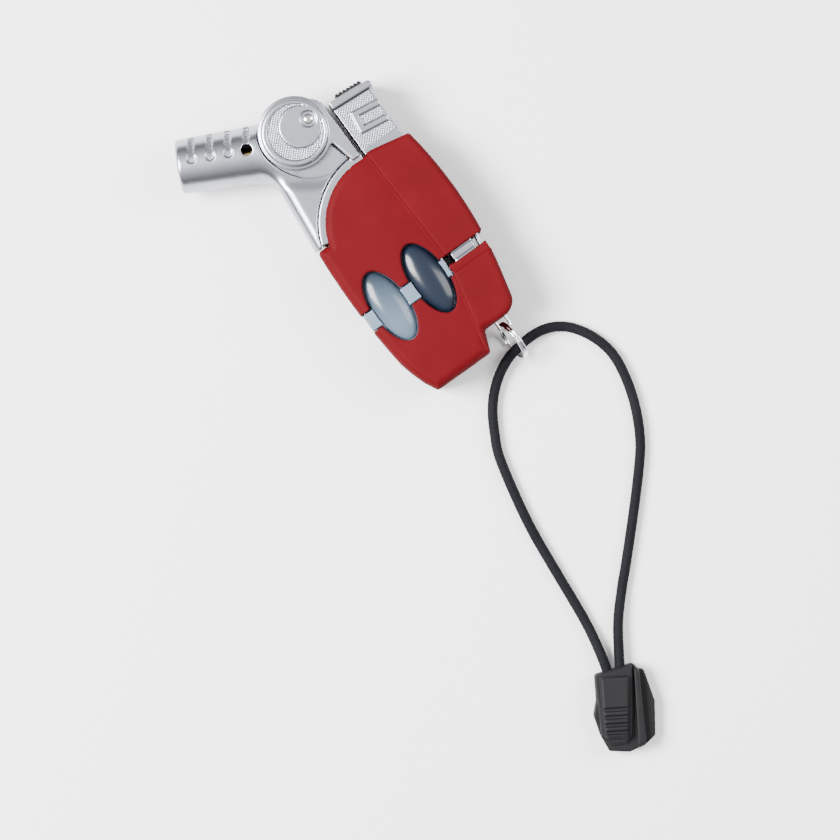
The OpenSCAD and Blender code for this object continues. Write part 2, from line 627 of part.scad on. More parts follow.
module mixing_tube() color(brass) in_tube(plate_s - mixing_l) difference() {
    union() {
        cylinder(h = mixing_l - fit, d = mixing_d);
        translate([0, 0, mixing_l - 1.6]) cylinder(h = 1.5, d = insert_d, $fn = 96);
    }
    translate([0, 0, -1]) cylinder(h = mixing_l + 2, d = mixing_d - 1.4);
    translate([0, 0, 3]) rotate([90, 0, 0]) cylinder(h = mixing_d + 2, d = 1.6, center = true);
    electrode_hole(insulator_d + 2 * fit);
}
module jet_nozzle() color(brass) in_tube(jet_s) difference() {
    union() {
        cylinder(h = jet_l, d = mixing_d + 1);
        translate([0, 0, jet_l - eps]) cylinder(h = 0.6, d = mixing_d - 1.6);
    }
    translate([0, 0, -1]) cylinder(h = jet_l, d = pipe_d + 2 * fit);
    translate([0, 0, -1]) cylinder(h = jet_l + 3, d = 0.5);
}
module feed_pipe() color(brass) {
    nozzle_in = tube_root + (jet_s + 1) * [cos(tube_angle), sin(tube_angle)];
    sweep_tube(smooth_route([
        [pivot.x - stem_d / 2 - 0.2, pivot.y, jet_z], [tube_root.x + 6, tube_root.y, mid_z + 0.4],
        [tube_root.x, tube_root.y, mid_z], [nozzle_in.x, nozzle_in.y, mid_z],
    ], 3), pipe_d - 0.2, 12);
}
module electrode() color(steel) in_tube(jet_s + 1) translate([0, electrode_off, 0])
    cylinder(h = tube_l - mouth_recess - 1 - jet_s, d = electrode_d);
module electrode_insulator() color("white") in_tube(jet_s + 2) translate([0, electrode_off, 0]) difference() {
    cylinder(h = plate_s + plate_t + 1 - jet_s - 2, d = insulator_d);
    translate([0, 0, -1]) cylinder(h = 40, d = electrode_d + fit);
}
module slip_contact() color(brass) translate([pivot.x, pivot.y, mid_z + 3.7]) difference() {
    cylinder(h = knuckle_t / 2 - 3.8, d = stem_d + 1.4);
    translate([0, 0, -1]) cylinder(h = 4, d = stem_d + fit);
}

// Lanyard
module split_ring() color(steel)
    translate([lug_c.x - 0.5, ring_y, ring_lift])
    rotate([0, 90 + ring_lean, 0]) rotate_extrude($fn = 96) for (side = [-1, 1])
        translate([ring_r - ring_wire / 2, side * ring_pitch / 2]) circle(d = ring_wire, $fn = 24);
function spline(a, b, c, d, t) = 0.5 * (2 * b + t * (c - a) + t * t * (2 * a - 5 * b + 4 * c - d)
    + t * t * t * (3 * b - a - 3 * c + d));
function smooth_route(p, n) = concat([
    for (i = [0:len(p) - 2], k = [0:n - 1])
        spline(p[max(i - 1, 0)], p[i], p[i + 1], p[min(i + 2, len(p) - 1)], k / n)
], [p[len(p) - 1]]);
module sweep_tube(p, d, sides) {
    last = len(p) - 1;
    points = [
        for (i = [0:last], k = [0:sides - 1])
            let (t = p[min(i + 1, last)] - p[max(i - 1, 0)], u = [t.y, -t.x, 0] / norm([t.x, t.y]),
                v = cross(u, t) / norm(t), a = 360 * (k + 0.5) / sides)
            p[i] + d / 2 * (cos(a) * u + sin(a) * v)
    ];
    skin = [
        for (i = [0:last - 1], k = [0:sides - 1])
            let (a = i * sides + k, b = i * sides + (k + 1) % sides) [a, a + sides, b + sides, b]
    ];
    ends = [[for (k = [0:sides - 1]) k], [for (k = [sides - 1:-1:0]) last * sides + k]];
    polyhedron(points, concat(skin, ends), convexity = 6);
}
module lanyard_cord() color(black) translate(cord_shift) sweep_tube(smooth_route(cord_route, 2), cord_d, 8);

// Cord end: u runs across it, v along it from the cords' entry
module in_clip() translate(cord_shift + [clip_at.x, clip_at.y, 0]) rotate([0, 0, clip_turn]) children();
module clip_plan() polygon([
    [-5.1, -1.2], [-5, -8.7], [-6, -12.9], [-4.5, -18.8], [-2, -23.4], [3.7, -23.9], [8.6, -22],
    [11.4, -19.8], [11.8, -9.8], [9.2, -0.6], [7.4, -0.2], [6, 1.4],
]);
module clip_body() color(black) in_clip() difference() {
    slab(0, clip_h) clip_plan();
    slab(clip_h - 1.6, clip_h + 1) polygon([[-7, 2], [-7, -24.5], [6.2, -24.5], [6.2, 2]]);
    slab(clip_h - 3, clip_h + 1) polygon([[7.6, 2], [13, 2], [13, -25], [8.6, -25]]);
    for (u = cord_u) translate([u, -4.4, cord_z]) rotate([-90, 0, 0]) cylinder(h = 8, d = cord_d + 2 * fit);
}
module clip_tongue() color(black) in_clip() difference() {
    union() {
        slab(clip_h - 1.6 + fit, clip_h)
            polygon([[-5.1, -1.4], [-4.2, -19.5], [-2, -21.4], [2.4, -21.4], [4.6, -19.5], [5.9, 1]]);
        slab(clip_h - eps, tongue_h) polygon([[-3.6, -2], [-3.1, -19.5], [3.4, -19.5], [4.6, -2]]);
    }
    for (i = [0:3]) translate([-6, -18.4 + 2.2 * i, tongue_h - 0.6]) cube([12, 1, 2]);
}

upper_front_shell();
lower_front_shell();
upper_back_shell();
lower_back_shell();
front_chassis();
back_chassis();
front_tank_half();
back_tank_half();
fill_valve_body();
fill_valve_seal();
fill_valve_stem();
fill_valve_spring();
outlet_valve_body();
outlet_valve_seal();
outlet_valve_stem();
outlet_valve_spring();
flame_adjuster();
gas_pipe();
gas_union();
valve_lever();
lever_pin();
piezo_body();
piezo_plunger();
piezo_spring();
ignition_lead();
contact_leaf();
ignition_button();
button_cap();
lock_slide();
case_screws();
pivot_screws();
lanyard_lug();
burner_housing();
flame_tube();
flame_plate();
mixing_tube();
jet_nozzle();
feed_pipe();
union_seals();
electrode();
electrode_insulator();
slip_contact();
split_ring();
lanyard_cord();
clip_body();
clip_tongue();
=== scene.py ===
"""Pocket butane torch with a pivoting head and a wrist lanyard, lying on its back.

Shapes are worked out in millimetres and made into meshes in metres, in the CAD frame.
"""
import json
import math
from functools import partial

import bpy
import numpy as np
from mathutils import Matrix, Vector


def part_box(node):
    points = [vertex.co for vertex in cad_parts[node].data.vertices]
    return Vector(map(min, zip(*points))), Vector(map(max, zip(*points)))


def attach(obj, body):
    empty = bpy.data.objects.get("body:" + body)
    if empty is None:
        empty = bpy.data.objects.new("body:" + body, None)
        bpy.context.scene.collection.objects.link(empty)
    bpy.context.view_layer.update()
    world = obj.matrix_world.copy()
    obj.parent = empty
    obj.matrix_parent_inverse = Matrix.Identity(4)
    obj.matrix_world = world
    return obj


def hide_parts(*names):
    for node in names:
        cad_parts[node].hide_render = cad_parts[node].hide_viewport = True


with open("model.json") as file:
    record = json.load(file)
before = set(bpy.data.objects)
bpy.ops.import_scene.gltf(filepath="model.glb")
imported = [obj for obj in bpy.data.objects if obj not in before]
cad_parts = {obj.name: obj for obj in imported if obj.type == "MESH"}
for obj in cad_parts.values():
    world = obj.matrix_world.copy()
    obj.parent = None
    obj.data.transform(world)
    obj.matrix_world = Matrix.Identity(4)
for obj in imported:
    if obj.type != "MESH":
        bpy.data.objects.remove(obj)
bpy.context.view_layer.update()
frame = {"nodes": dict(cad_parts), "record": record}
MM = 0.001


# Sizes shared with the CAD, in millimetres
BODY_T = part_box("front_chassis")[1].z / MM
MID = BODY_T / 2
TAIL = -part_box("lower_front_shell")[0].y / MM
SHELL_WALL = 1.2
CHASSIS_WALL = 1.2
TANK_WALL = 1.2
BUTTON_WALL = 1.2
FIT = 0.1
FREE = 0.3
SHELL_IN = BODY_T - SHELL_WALL
CHASSIS_OUT = SHELL_IN - FIT
CHASSIS_IN = CHASSIS_OUT - CHASSIS_WALL
INNER_HALF = CHASSIS_IN - MID
RIGHT_W = 22.6
LEFT_W = 20.6
BLOCK_END = TAIL - 6.3
CORNER_R = 5
TOP_RIGHT_Y = 30.3
SHOULDER = np.array([4, 11])
SHOULDER_R = 21.8
BAND_R = SHOULDER_R + 1.3
SHOULDER_TOP = 33
WINDOWS = [(-12, -6.6), (1.5, -6.6)]
WINDOW_A = 5
WINDOW_B = 11
SPLIT_Y0 = -10
SPLIT_Y1 = -4.2
STRAP_Y0 = -9.7
STRAP_Y1 = -4.5
LIP_Y = -7
BLOCK_X = 8
PIVOT = np.array([0, 50])
DISC = PIVOT + [-5.4, -1]
DISC_R = 9.6
FLANGE_R = DISC_R + 1
EAR_IN = MID + 6.4
EAR_OUT = BODY_T - 0.8
TUBE_ROOT = PIVOT + [-15.55, -0.1]
TUBE_ANGLE = math.radians(153.5)
TUBE_AXIS = np.array([math.cos(TUBE_ANGLE), math.sin(TUBE_ANGLE)])
TUBE_SIDE = np.array([-math.sin(TUBE_ANGLE), math.cos(TUBE_ANGLE)])
TUBE_L = 25
ROOT_R = (BODY_T - 0.7) / 2
MOUTH_R = (BODY_T - 2.6) / 2
BORE_R = MOUTH_R - 1.4
NECK_HALF = MID - 1.5
KNUCKLE_HALF = EAR_IN - MID - FIT
STEM_R = 2.05
BUTTON_X0 = 7.2
BUTTON_X1 = RIGHT_W - (TOP_RIGHT_Y - 10.5) ** 2 / 240 - SHELL_WALL - FREE
BUTTON_Y0 = 25
BUTTON_Y1 = 48
BUTTON_HALF = INNER_HALF - 0.2
CASE_SCREWS = [(14, -17), (RIGHT_W - 4.5, 8), (-15.2, 13.6), (-12.6, 4.2 - TAIL)]
SCREW_HOLE_R = 1.8
LUG_X = 11.4
LUG_HALF = 1.65
LUG_HOLE_R = 0.55
END_PORTS = [(-6, 2.6), (0, 2)]
CLIP_AT = np.array([-21, -128])
CLIP_TURN = math.radians(-32)


# Outlines
def right_x(y):
    return RIGHT_W - (y - 10.5) ** 2 / 240


def left_x(y):
    return -LEFT_W + (y - 2) ** 2 / 400


def polar(centre, r, degrees):
    a = np.radians(degrees)
    return np.stack([centre[0] + r * np.cos(a), centre[1] + r * np.sin(a)], -1)


def arc(centre, r, a0, a1, count):
    return [tuple(p) for p in polar(centre, r, np.linspace(a0, a1, count + 1))]


def handle_outline():
    """The handle seen from above, counter-clockwise."""
    corner_y = CORNER_R - BLOCK_END
    right = [(right_x(y), y) for y in np.linspace(-16, TOP_RIGHT_Y, 14)]
    left = [(left_x(y), y) for y in np.linspace(17.6, -22, 12)]
    return (
        [(-14.8, -TAIL), (3.5, -TAIL), (5.6, 5.6 - TAIL), (6.4, -BLOCK_END)]
        + arc((right_x(corner_y) - CORNER_R, corner_y), CORNER_R, -90, -8, 10)
        + right
        + [(7.6, SHOULDER_TOP)]
        + arc(SHOULDER, SHOULDER_R, 82, 162.5, 30)
        + left
        + [(-18.3, -25.5), (-16.9, -29.8)]
    )


def inset(points, d):
    """An outline with each edge moved inwards by d."""
    p = np.asarray(points, float)
    edge = np.roll(p, -1, 0) - p
    edge /= np.linalg.norm(edge, axis=1)[:, None]
    n = np.stack([-edge[:, 1], edge[:, 0]], 1)
    m = np.roll(n, 1, 0)
    return p + d * (n + m) / (1 + (n * m).sum(1))[:, None]


CORNER = 1.2
HANDLE = inset(handle_outline(), CORNER)


# Distance fields: negative inside, in millimetres
def sd_poly(x, y, points):
    """Signed distance to a closed outline."""
    p = np.asarray(points, float)
    q = np.roll(p, -1, axis=0)
    x, y = np.broadcast_arrays(x, y)
    nearest = np.full(x.shape, 1e9)
    odd = np.zeros(x.shape, bool)
    for (ax, ay), (bx, by) in zip(p, q):
        ex, ey = bx - ax, by - ay
        t = np.clip(((x - ax) * ex + (y - ay) * ey) / (ex * ex + ey * ey), 0, 1)
        nearest = np.minimum(nearest, (x - ax - t * ex) ** 2 + (y - ay - t * ey) ** 2)
        if by != ay:
            spans = (ay > y) != (by > y)
            odd ^= spans & (x < ax + (y - ay) * ex / ey)
    return np.where(odd, -1, 1) * np.sqrt(nearest)


def sd_handle(x, y):
    """The handle's outline with its corners rounded."""
    return sd_poly(x, y, HANDLE) - CORNER


def sd_circle(x, y, centre, r):
    return np.hypot(x - centre[0], y - centre[1]) - r


def sd_box2(x, y, x0, y0, x1, y1):
    return np.maximum(abs(x - (x0 + x1) / 2) - (x1 - x0) / 2, abs(y - (y0 + y1) / 2) - (y1 - y0) / 2)


def sd_ellipse(x, y, centre, a, b):
    """Nearly the distance to an ellipse, close to its edge."""
    u, v = (x - centre[0]) / a, (y - centre[1]) / b
    k = np.hypot(u, v)
    return k * (k - 1) / np.maximum(np.hypot(u / a, v / b), 1e-3)


def sd_capsule(x, y, a, b, r):
    ex, ey = b[0] - a[0], b[1] - a[1]
    t = np.clip(((x - a[0]) * ex + (y - a[1]) * ey) / (ex * ex + ey * ey), 0, 1)
    return np.hypot(x - a[0] - t * ex, y - a[1] - t * ey) - r


def both(a, b, r=0.0):
    """Where a and b overlap, with their edge rounded to r."""
    u, v = a + r, b + r
    return np.minimum(np.maximum(u, v), 0) + np.hypot(np.maximum(u, 0), np.maximum(v, 0)) - r


def either(a, b, r=0.0):
    return -both(-a, -b, r)


def without(a, b, r=0.0):
    return both(a, -b, r)


def blend(a, b, k):
    """a and b joined by a soft fillet about k wide."""
    h = np.maximum(k - abs(a - b), 0) / k
    return np.minimum(a, b) - h * h * k / 4


def slab(flat, z, z0, z1, top=0.0, bottom=0.0):
    """An outline's field made solid from z0 to z1, its two edges rounded."""
    return both(both(flat, z - z1, top), z0 - z, bottom)


def step(a, b, x):
    t = np.clip((x - a) / (b - a), 0, 1)
    return t * t * (3 - 2 * t)


# Meshes
def surface_net(shape, lo, hi, cell):
    """Corners and quads of the surface where shape(x, y, z) is zero."""
    axes = [np.arange(a - 2 * cell, b + 3 * cell, cell) for a, b in zip(lo, hi)]
    x, y, z = np.ix_(*axes)
    size = tuple(len(a) for a in axes)
    f = np.array(np.broadcast_to(shape(x, y, z), size))
    total = np.zeros((math.prod(size), 3))
    count = np.zeros(math.prod(size))
    rings = []
    for axis in range(3):
        b, c = (axis + 1) % 3, (axis + 2) % 3
        near = np.moveaxis(f, axis, 0)[:-1]
        far = np.moveaxis(f, axis, 0)[1:]
        found = np.argwhere((near < 0) != (far < 0))
        v0, v1 = near[tuple(found.T)], far[tuple(found.T)]
        order = [axis] + [k for k in range(3) if k != axis]
        at = np.empty_like(found)
        at[:, order] = found
        point = at.astype(float)
        point[:, axis] += v0 / (v0 - v1)
        ring = []
        for db, dc in ((0, 0), (-1, 0), (-1, -1), (0, -1)):
            near_cell = at.copy()
            near_cell[:, b] += db
            near_cell[:, c] += dc
            index = np.ravel_multi_index(near_cell.T, size)
            for k in range(3):
                total[:, k] += np.bincount(index, point[:, k], len(total))
            count += np.bincount(index, minlength=len(count))
            ring.append(index)
        ring = np.stack(ring, 1)
        rings.append(np.where((v0 < 0)[:, None], ring, ring[:, ::-1]))
    used = np.flatnonzero(count)
    name = np.zeros(len(count), int)
    name[used] = np.arange(len(used))
    start = np.array([a[0] for a in axes])
    corners = total[used] / count[used, None] * cell + start
    return settle(shape, corners, cell), name[np.concatenate(rings)]


def settle(shape, corners, cell):
    """Moves corners onto the surface itself."""
    h = cell / 20
    for _ in range(2):
        value = shape(*corners.T)
        slope = np.stack([shape(*(corners + h * np.eye(3)[k]).T) - value for k in range(3)], 1) / h
        move = -value[:, None] * slope / np.maximum((slope ** 2).sum(1), 0.2)[:, None]
        reach = np.maximum(np.linalg.norm(move, axis=1) / (0.6 * cell), 1)
        corners = corners + move / reach[:, None]
    return corners


def piece(name, body, material, corners, faces, stands_for=()):
    """A mesh piece from corners in millimetres, riding on a body."""
    mesh = bpy.data.meshes.new(name)
    mesh.from_pydata((np.asarray(corners) * MM).tolist(), [], [[int(i) for i in face] for face in faces])
    mesh.validate()
    mesh.shade_smooth()
    made = bpy.data.objects.new(name, mesh)
    bpy.context.scene.collection.objects.link(made)
    made.data.materials.append(MATERIALS[material])
    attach(made, body)
    if stands_for:
        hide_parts(*stands_for)
    return made


def solid(name, body, material, shape, lo, hi, cell, stands_for=(), flip=False):
    """A piece from a distance field. flip turns a front piece into its twin on the back."""
    corners, faces = surface_net(shape, lo, hi, cell)
    if flip:
        corners[:, 2] = BODY_T - corners[:, 2]
        faces = faces[:, ::-1]
    return piece(name, body, material, corners, faces, stands_for)


def spline(points, count):
    """A Catmull-Rom curve through points, with count steps to each."""
    p = np.asarray(points, float)
    p = np.vstack([2 * p[0] - p[1], p, 2 * p[-1] - p[-2]])
    t = np.linspace(0, 1, count, endpoint=False)[:, None]
    made = []
    for a, b, c, d in zip(p, p[1:], p[2:], p[3:]):
        square = t ** 2 * (2 * a - 5 * b + 4 * c - d)
        cube = t ** 3 * (3 * b - a - 3 * c + d)
        made.append(0.5 * (2 * b + t * (c - a) + square + cube))
    return np.vstack(made + [p[-2:-1]])


def tube(route, radius, sides, closed=False, relief=None):
    """Corners and faces of a round tube along a route. relief(around, along) adds to its radius."""
    route = np.asarray(route, float)
    if closed:
        tangent = np.roll(route, -1, 0) - np.roll(route, 1, 0)
    else:
        tangent = np.gradient(route, axis=0)
    tangent /= np.linalg.norm(tangent, axis=1)[:, None]
    normal = np.cross(tangent[0], (0, 0, 1) if abs(tangent[0][2]) < 0.9 else (1, 0, 0))
    along = np.concatenate([[0], np.cumsum(np.linalg.norm(np.diff(route, axis=0), axis=1))])
    turn = 2 * math.pi * np.arange(sides) / sides
    rings = []
    for point, t, s in zip(route, tangent, along):
        normal = normal - t * (normal @ t)
        normal /= np.linalg.norm(normal)
        across = np.cross(t, normal)
        r = radius + (relief(turn, s) if relief else 0 * turn)
        rings.append(point + r[:, None] * (np.outer(np.cos(turn), normal) + np.outer(np.sin(turn), across)))
    k = np.arange(sides)
    following = (k + 1) % sides
    last = len(route) if closed else len(route) - 1
    faces = []
    for i in range(last):
        a, b = i * sides, (i + 1) % len(route) * sides
        faces += np.stack([a + k, a + following, b + following, b + k], 1).tolist()
    if not closed:
        faces += [k[::-1].tolist(), ((len(route) - 1) * sides + k).tolist()]
    return np.vstack(rings), faces


def joined(parts):
    """Several (corners, faces) as one."""
    corners, faces, first = [], [], 0
    for p, f in parts:
        corners.append(p)
        faces += [[i + first for i in face] for face in f]
        first += len(p)
    return np.vstack(corners), faces


def lathe(profile, sides=64):
    """A solid turned about Z from (radius, height) points that start and end on the axis."""
    inner = profile[1:-1]
    turn = 2 * math.pi * np.arange(sides) / sides
    corners = [(r * c, r * s, z) for r, z in inner for c, s in zip(np.cos(turn), np.sin(turn))]
    corners += [(0, 0, profile[0][1]), (0, 0, profile[-1][1])]
    bottom, top = len(corners) - 2, len(corners) - 1
    faces = []
    for k in range(sides):
        n = (k + 1) % sides
        faces.append((bottom, n, k))
        for i in range(len(inner) - 1):
            a, b = i * sides, (i + 1) * sides
            faces.append((a + k, a + n, b + n, b + k))
        a = (len(inner) - 1) * sides
        faces.append((a + k, a + n, top))
    return np.array(corners), faces


# Materials
def new_material(name):
    made = bpy.data.materials.new(name)
    made.use_nodes = True
    return made, made.node_tree.nodes, made.node_tree.links, made.node_tree.nodes["Principled BSDF"]


def noise(nodes, links, scale, detail=3.0):
    """Noise in the object's own metres, scale features to the metre."""
    where = nodes.new("ShaderNodeTexCoord")
    made = nodes.new("ShaderNodeTexNoise")
    made.inputs["Scale"].default_value = scale
    made.inputs["Detail"].default_value = detail
    links.new(where.outputs["Object"], made.inputs["Vector"])
    return made.outputs["Fac"]


def ramp(nodes, links, source, low, high, start=0.3, end=0.7):
    """source turned into a colour between low and high."""
    made = nodes.new("ShaderNodeValToRGB")
    made.color_ramp.elements[0].position = start
    made.color_ramp.elements[0].color = (*low, 1)
    made.color_ramp.elements[1].position = end
    made.color_ramp.elements[1].color = (*high, 1)
    links.new(source, made.inputs["Fac"])
    return made.outputs["Color"]


def bump(nodes, links, shader, height, distance, strength=1.0):
    made = nodes.new("ShaderNodeBump")
    made.inputs["Distance"].default_value = distance
    made.inputs["Strength"].default_value = strength
    links.new(height, made.inputs["Height"])
    links.new(made.outputs["Normal"], shader.inputs["Normal"])


def finish_of(name, low, high, rough, metal=0.0, grain=2500, relief=0.00001, coat=0.0, gloss=0.5):
    """A finish whose colour, roughness and surface vary a little, as a real one does."""
    made, nodes, links, shader = new_material(name)
    shader.inputs["Metallic"].default_value = metal
    shader.inputs["Specular IOR Level"].default_value = gloss
    shader.inputs["Coat Weight"].default_value = coat
    shader.inputs["Coat Roughness"].default_value = 0.08
    broad = noise(nodes, links, 90)
    fine = noise(nodes, links, grain, 2)
    links.new(ramp(nodes, links, broad, low, high), shader.inputs["Base Color"])
    spread = nodes.new("ShaderNodeMapRange")
    spread.inputs["To Min"].default_value = rough[0]
    spread.inputs["To Max"].default_value = rough[1]
    links.new(fine, spread.inputs["Value"])
    links.new(spread.outputs["Result"], shader.inputs["Roughness"])
    bump(nodes, links, shader, fine, relief)
    return made


def lens_material():
    """Smoked plastic, paler in the left window than in the right, with its shade painted in: the right window
    is kept dark for the dark inside seen through it, and the left one darkens towards its top end for light
    bent at the dome.
    """
    made, nodes, links, shader = new_material("smoked_plastic")
    where = nodes.new("ShaderNodeTexCoord")
    axes = nodes.new("ShaderNodeSeparateXYZ")
    links.new(where.outputs["Object"], axes.inputs["Vector"])
    # Painted shade: 1 over the left window and 0 over the right one, so the right window stays dark.
    split = nodes.new("ShaderNodeMapRange")
    split.inputs["From Min"].default_value = -0.003
    split.inputs["From Max"].default_value = -0.008
    links.new(axes.outputs["X"], split.inputs["Value"])
    # Painted shade, not thickness: the left window runs from dark at its top end to paler lower down.
    depth = nodes.new("ShaderNodeMapRange")
    depth.inputs["From Min"].default_value = 0.003
    depth.inputs["From Max"].default_value = -0.012
    depth.inputs["To Min"].default_value = 0.18
    links.new(axes.outputs["Y"], depth.inputs["Value"])
    shade = nodes.new("ShaderNodeMath")
    shade.operation = "MULTIPLY_ADD"
    shade.inputs[2].default_value = 0.04
    links.new(split.outputs["Result"], shade.inputs[0])
    links.new(depth.outputs["Result"], shade.inputs[1])
    # The smoke's own colour, darkened by the painted shade above.
    smoke_and_shade = ramp(nodes, links, shade.outputs["Value"], (0.003, 0.006, 0.014), (0.085, 0.12, 0.16), 0, 1)
    links.new(smoke_and_shade, shader.inputs["Base Color"])
    shader.inputs["Roughness"].default_value = 0.22
    shader.inputs["Specular IOR Level"].default_value = 0.25
    shader.inputs["Coat Weight"].default_value = 0.15
    shader.inputs["Coat Roughness"].default_value = 0.12
    bump(nodes, links, shader, noise(nodes, links, 260, 2), 0.00001)
    return made


FINISHES = {
    "red_coat": dict(
        low=(0.072, 0.0008, 0.0025), high=(0.084, 0.0012, 0.0035), rough=(0.6, 0.72), grain=5200, gloss=0.08,
    ),
    "satin_metal": dict(
        low=(0.34, 0.35, 0.395), high=(0.4, 0.41, 0.455), rough=(0.24, 0.36), metal=1.0, grain=5200,
    ),
    "knurled_metal": dict(
        low=(0.25, 0.26, 0.295), high=(0.32, 0.33, 0.37), rough=(0.3, 0.42), metal=1.0, grain=5200,
    ),
    "clear_plastic": dict(
        low=(0.1, 0.14, 0.19), high=(0.16, 0.21, 0.27), rough=(0.12, 0.22), grain=900, coat=0.3,
    ),
    "bright_steel": dict(
        low=(0.6, 0.6, 0.63), high=(0.68, 0.68, 0.71), rough=(0.08, 0.15), metal=1.0, grain=1800,
    ),
    "steel": dict(
        low=(0.5, 0.5, 0.52), high=(0.6, 0.6, 0.62), rough=(0.2, 0.34), metal=1.0, grain=4000,
    ),
    "brass": dict(
        low=(0.62, 0.42, 0.16), high=(0.72, 0.5, 0.22), rough=(0.2, 0.32), metal=1.0, grain=4000,
    ),
    "black_rubber": dict(
        low=(0.004, 0.004, 0.005), high=(0.007, 0.007, 0.008), rough=(0.5, 0.65), grain=6000, gloss=0.18,
    ),
    "black_plastic": dict(
        low=(0.004, 0.004, 0.005), high=(0.007, 0.007, 0.008), rough=(0.3, 0.42), grain=3600, gloss=0.25,
    ),
    "ivory_plastic": dict(low=(0.7, 0.65, 0.52), high=(0.76, 0.71, 0.6), rough=(0.35, 0.45)),
    "ceramic": dict(low=(0.78, 0.77, 0.73), high=(0.84, 0.83, 0.8), rough=(0.4, 0.6), grain=7000),
    "cord_sheath": dict(
        low=(0.003, 0.003, 0.005), high=(0.006, 0.006, 0.008), rough=(0.65, 0.85), grain=9000, gloss=0.12,
    ),
}
MATERIALS = {name: finish_of(name, **finish) for name, finish in FINISHES.items()}
MATERIALS["clear_smoke"] = lens_material()


# Camera, floor and lights
def add_camera():
    """Straight down, turned as the torch lies in the frame."""
    data = bpy.data.cameras.new("camera")
    data.lens = 150
    data.sensor_width = 36
    data.clip_start = 0.05
    camera = bpy.data.objects.new("camera", data)
    camera.location = (-0.024, -0.0378, 1.009)
    camera.rotation_euler = (0, 0, math.radians(-35.66))
    bpy.context.scene.collection.objects.link(camera)
    bpy.context.scene.camera = camera


def add_floor():
    half = 1.5
    level = -0.0002
    mesh = bpy.data.meshes.new("floor")
    corners = [(x, y, level) for x, y in ((-half, -half), (half, -half), (half, half), (-half, half))]
    mesh.from_pydata(corners, [], [(0, 1, 2, 3)])
    floor = bpy.data.objects.new("floor", mesh)
    bpy.context.scene.collection.objects.link(floor)
    made, nodes, links, shader = new_material("floor")
    shade = ramp(nodes, links, noise(nodes, links, 3), (0.9, 0.9, 0.9), (0.93, 0.93, 0.93))
    links.new(shade, shader.inputs["Base Color"])
    shader.inputs["Roughness"].default_value = 0.9
    floor.data.materials.append(made)


def add_light(name, place, aim, size, power):
    data = bpy.data.lights.new(name, "AREA")
    data.shape = "RECTANGLE"
    data.size, data.size_y = size
    data.energy = power
    light = bpy.data.objects.new(name, data)
    light.location = place
    direction = Vector(aim) - Vector(place)
    light.rotation_euler = direction.to_track_quat("-Z", "Y").to_euler()
    bpy.context.scene.collection.objects.link(light)


def add_world():
    """Bright overhead and dimmer at the horizon, so metal has something to reflect."""
    world = bpy.data.worlds.new("studio")
    world.use_nodes = True
    nodes, links = world.node_tree.nodes, world.node_tree.links
    where = nodes.new("ShaderNodeTexCoord")
    axes = nodes.new("ShaderNodeSeparateXYZ")
    links.new(where.outputs["Generated"], axes.inputs["Vector"])
    sky = ramp(nodes, links, axes.outputs["Z"], (0.1, 0.1, 0.11), (1, 1, 1), 0.35, 0.9)
    links.new(sky, nodes["Background"].inputs["Color"])
    nodes["Background"].inputs["Strength"].default_value = 1.35
    bpy.context.scene.world = world


add_camera()
add_floor()
add_world()
add_light("key", (-0.55, 0.4, 0.8), (0, 0, 0), (0.5, 0.5), 48)
add_light("fill", (0.7, -0.2, 0.7), (0, 0, 0), (0.5, 0.7), 12)


# Lanyard
CORD_R = 1.5
CORD_STEP = 0.3
CORD_ROUTE = [
    (-24.3, -130.6, 3), (-22.3, -127.4, 3), (-20.4, -120, 2), (-19, -111.5, 1.5), (-17.8, -98, 1.5),
    (-16.5, -84, 1.5), (-14.7, -73, 1.5), (-11.7, -60, 1.5), (-8.8, -53.5, 1.5), (-5.6, -48, 1.6),
    (-2, -43.8, 1.9), (2.4, -40.4, 2.6), (7, -38.2, 3.6), (11.3, -37.3, 4.1), (16.5, -36.9, 3.3),
    (21.2, -37.7, 2.2), (25, -39.8, 1.6), (28, -43, 1.5), (30.6, -47.8, 1.5), (32, -53, 1.5),
    (32, -58, 1.5), (30.8, -64.2, 1.5), (28.6, -70.8, 1.5), (25.3, -77.5, 1.5), (21.5, -83, 1.5),
    (13, -92.5, 1.5), (1, -105, 1.5), (-5.5, -111.5, 1.6), (-12, -118.8, 2.2), (-18.4, -128.4, 3),
    (-21.1, -132.7, 3),
]


def braid(around, along):
    """Two sets of strands that cross over each other."""
    lay = 15.6
    strands = 6
    height = 0.07
    right = np.sin(strands * (around + 2 * math.pi * along / lay))
    left = np.sin(strands * (around - 2 * math.pi * along / lay))
    return height * np.maximum(right, left) - height


def make_lanyard():
    route = spline(CORD_ROUTE, 32)
    gaps = np.linalg.norm(np.diff(route, axis=0), axis=1)
    length = gaps.sum()
    along = np.concatenate([[0], np.cumsum(gaps)])
    even = np.linspace(0, length, int(length / CORD_STEP))
    centre = np.stack([np.interp(even, along, route[:, k]) for k in range(3)], 1)
    corners, faces = tube(centre, CORD_R, 24, relief=braid)
    cord = piece("cord_sheath", "lanyard", "cord_sheath", corners, faces, ["lanyard_cord"])
    clip = solid("cord_end", "lanyard", "black_rubber", clip_body, *clip_limits(0, 7), 0.3, ["clip_body"])
    tongue = solid(
        "cord_end_tongue", "lanyard", "black_rubber", clip_tongue, *clip_limits(5, 9), 0.25, ["clip_tongue"],
    )


def clip_axes(x, y):
    """u runs across the cord's end, v along it from where the cords go in."""
    dx, dy = x - CLIP_AT[0], y - CLIP_AT[1]
    c, s = math.cos(CLIP_TURN), math.sin(CLIP_TURN)
    return dx * c + dy * s, -dx * s + dy * c


def clip_limits(z0, z1):
    u = np.array([-6, 12, 12, -6])
    v = np.array([-24, -24, 1.5, 1.5])
    c, s = math.cos(CLIP_TURN), math.sin(CLIP_TURN)
    x = CLIP_AT[0] + u * c - v * s
    y = CLIP_AT[1] + u * s + v * c
    return (x.min(), y.min(), z0), (x.max(), y.max(), z1)


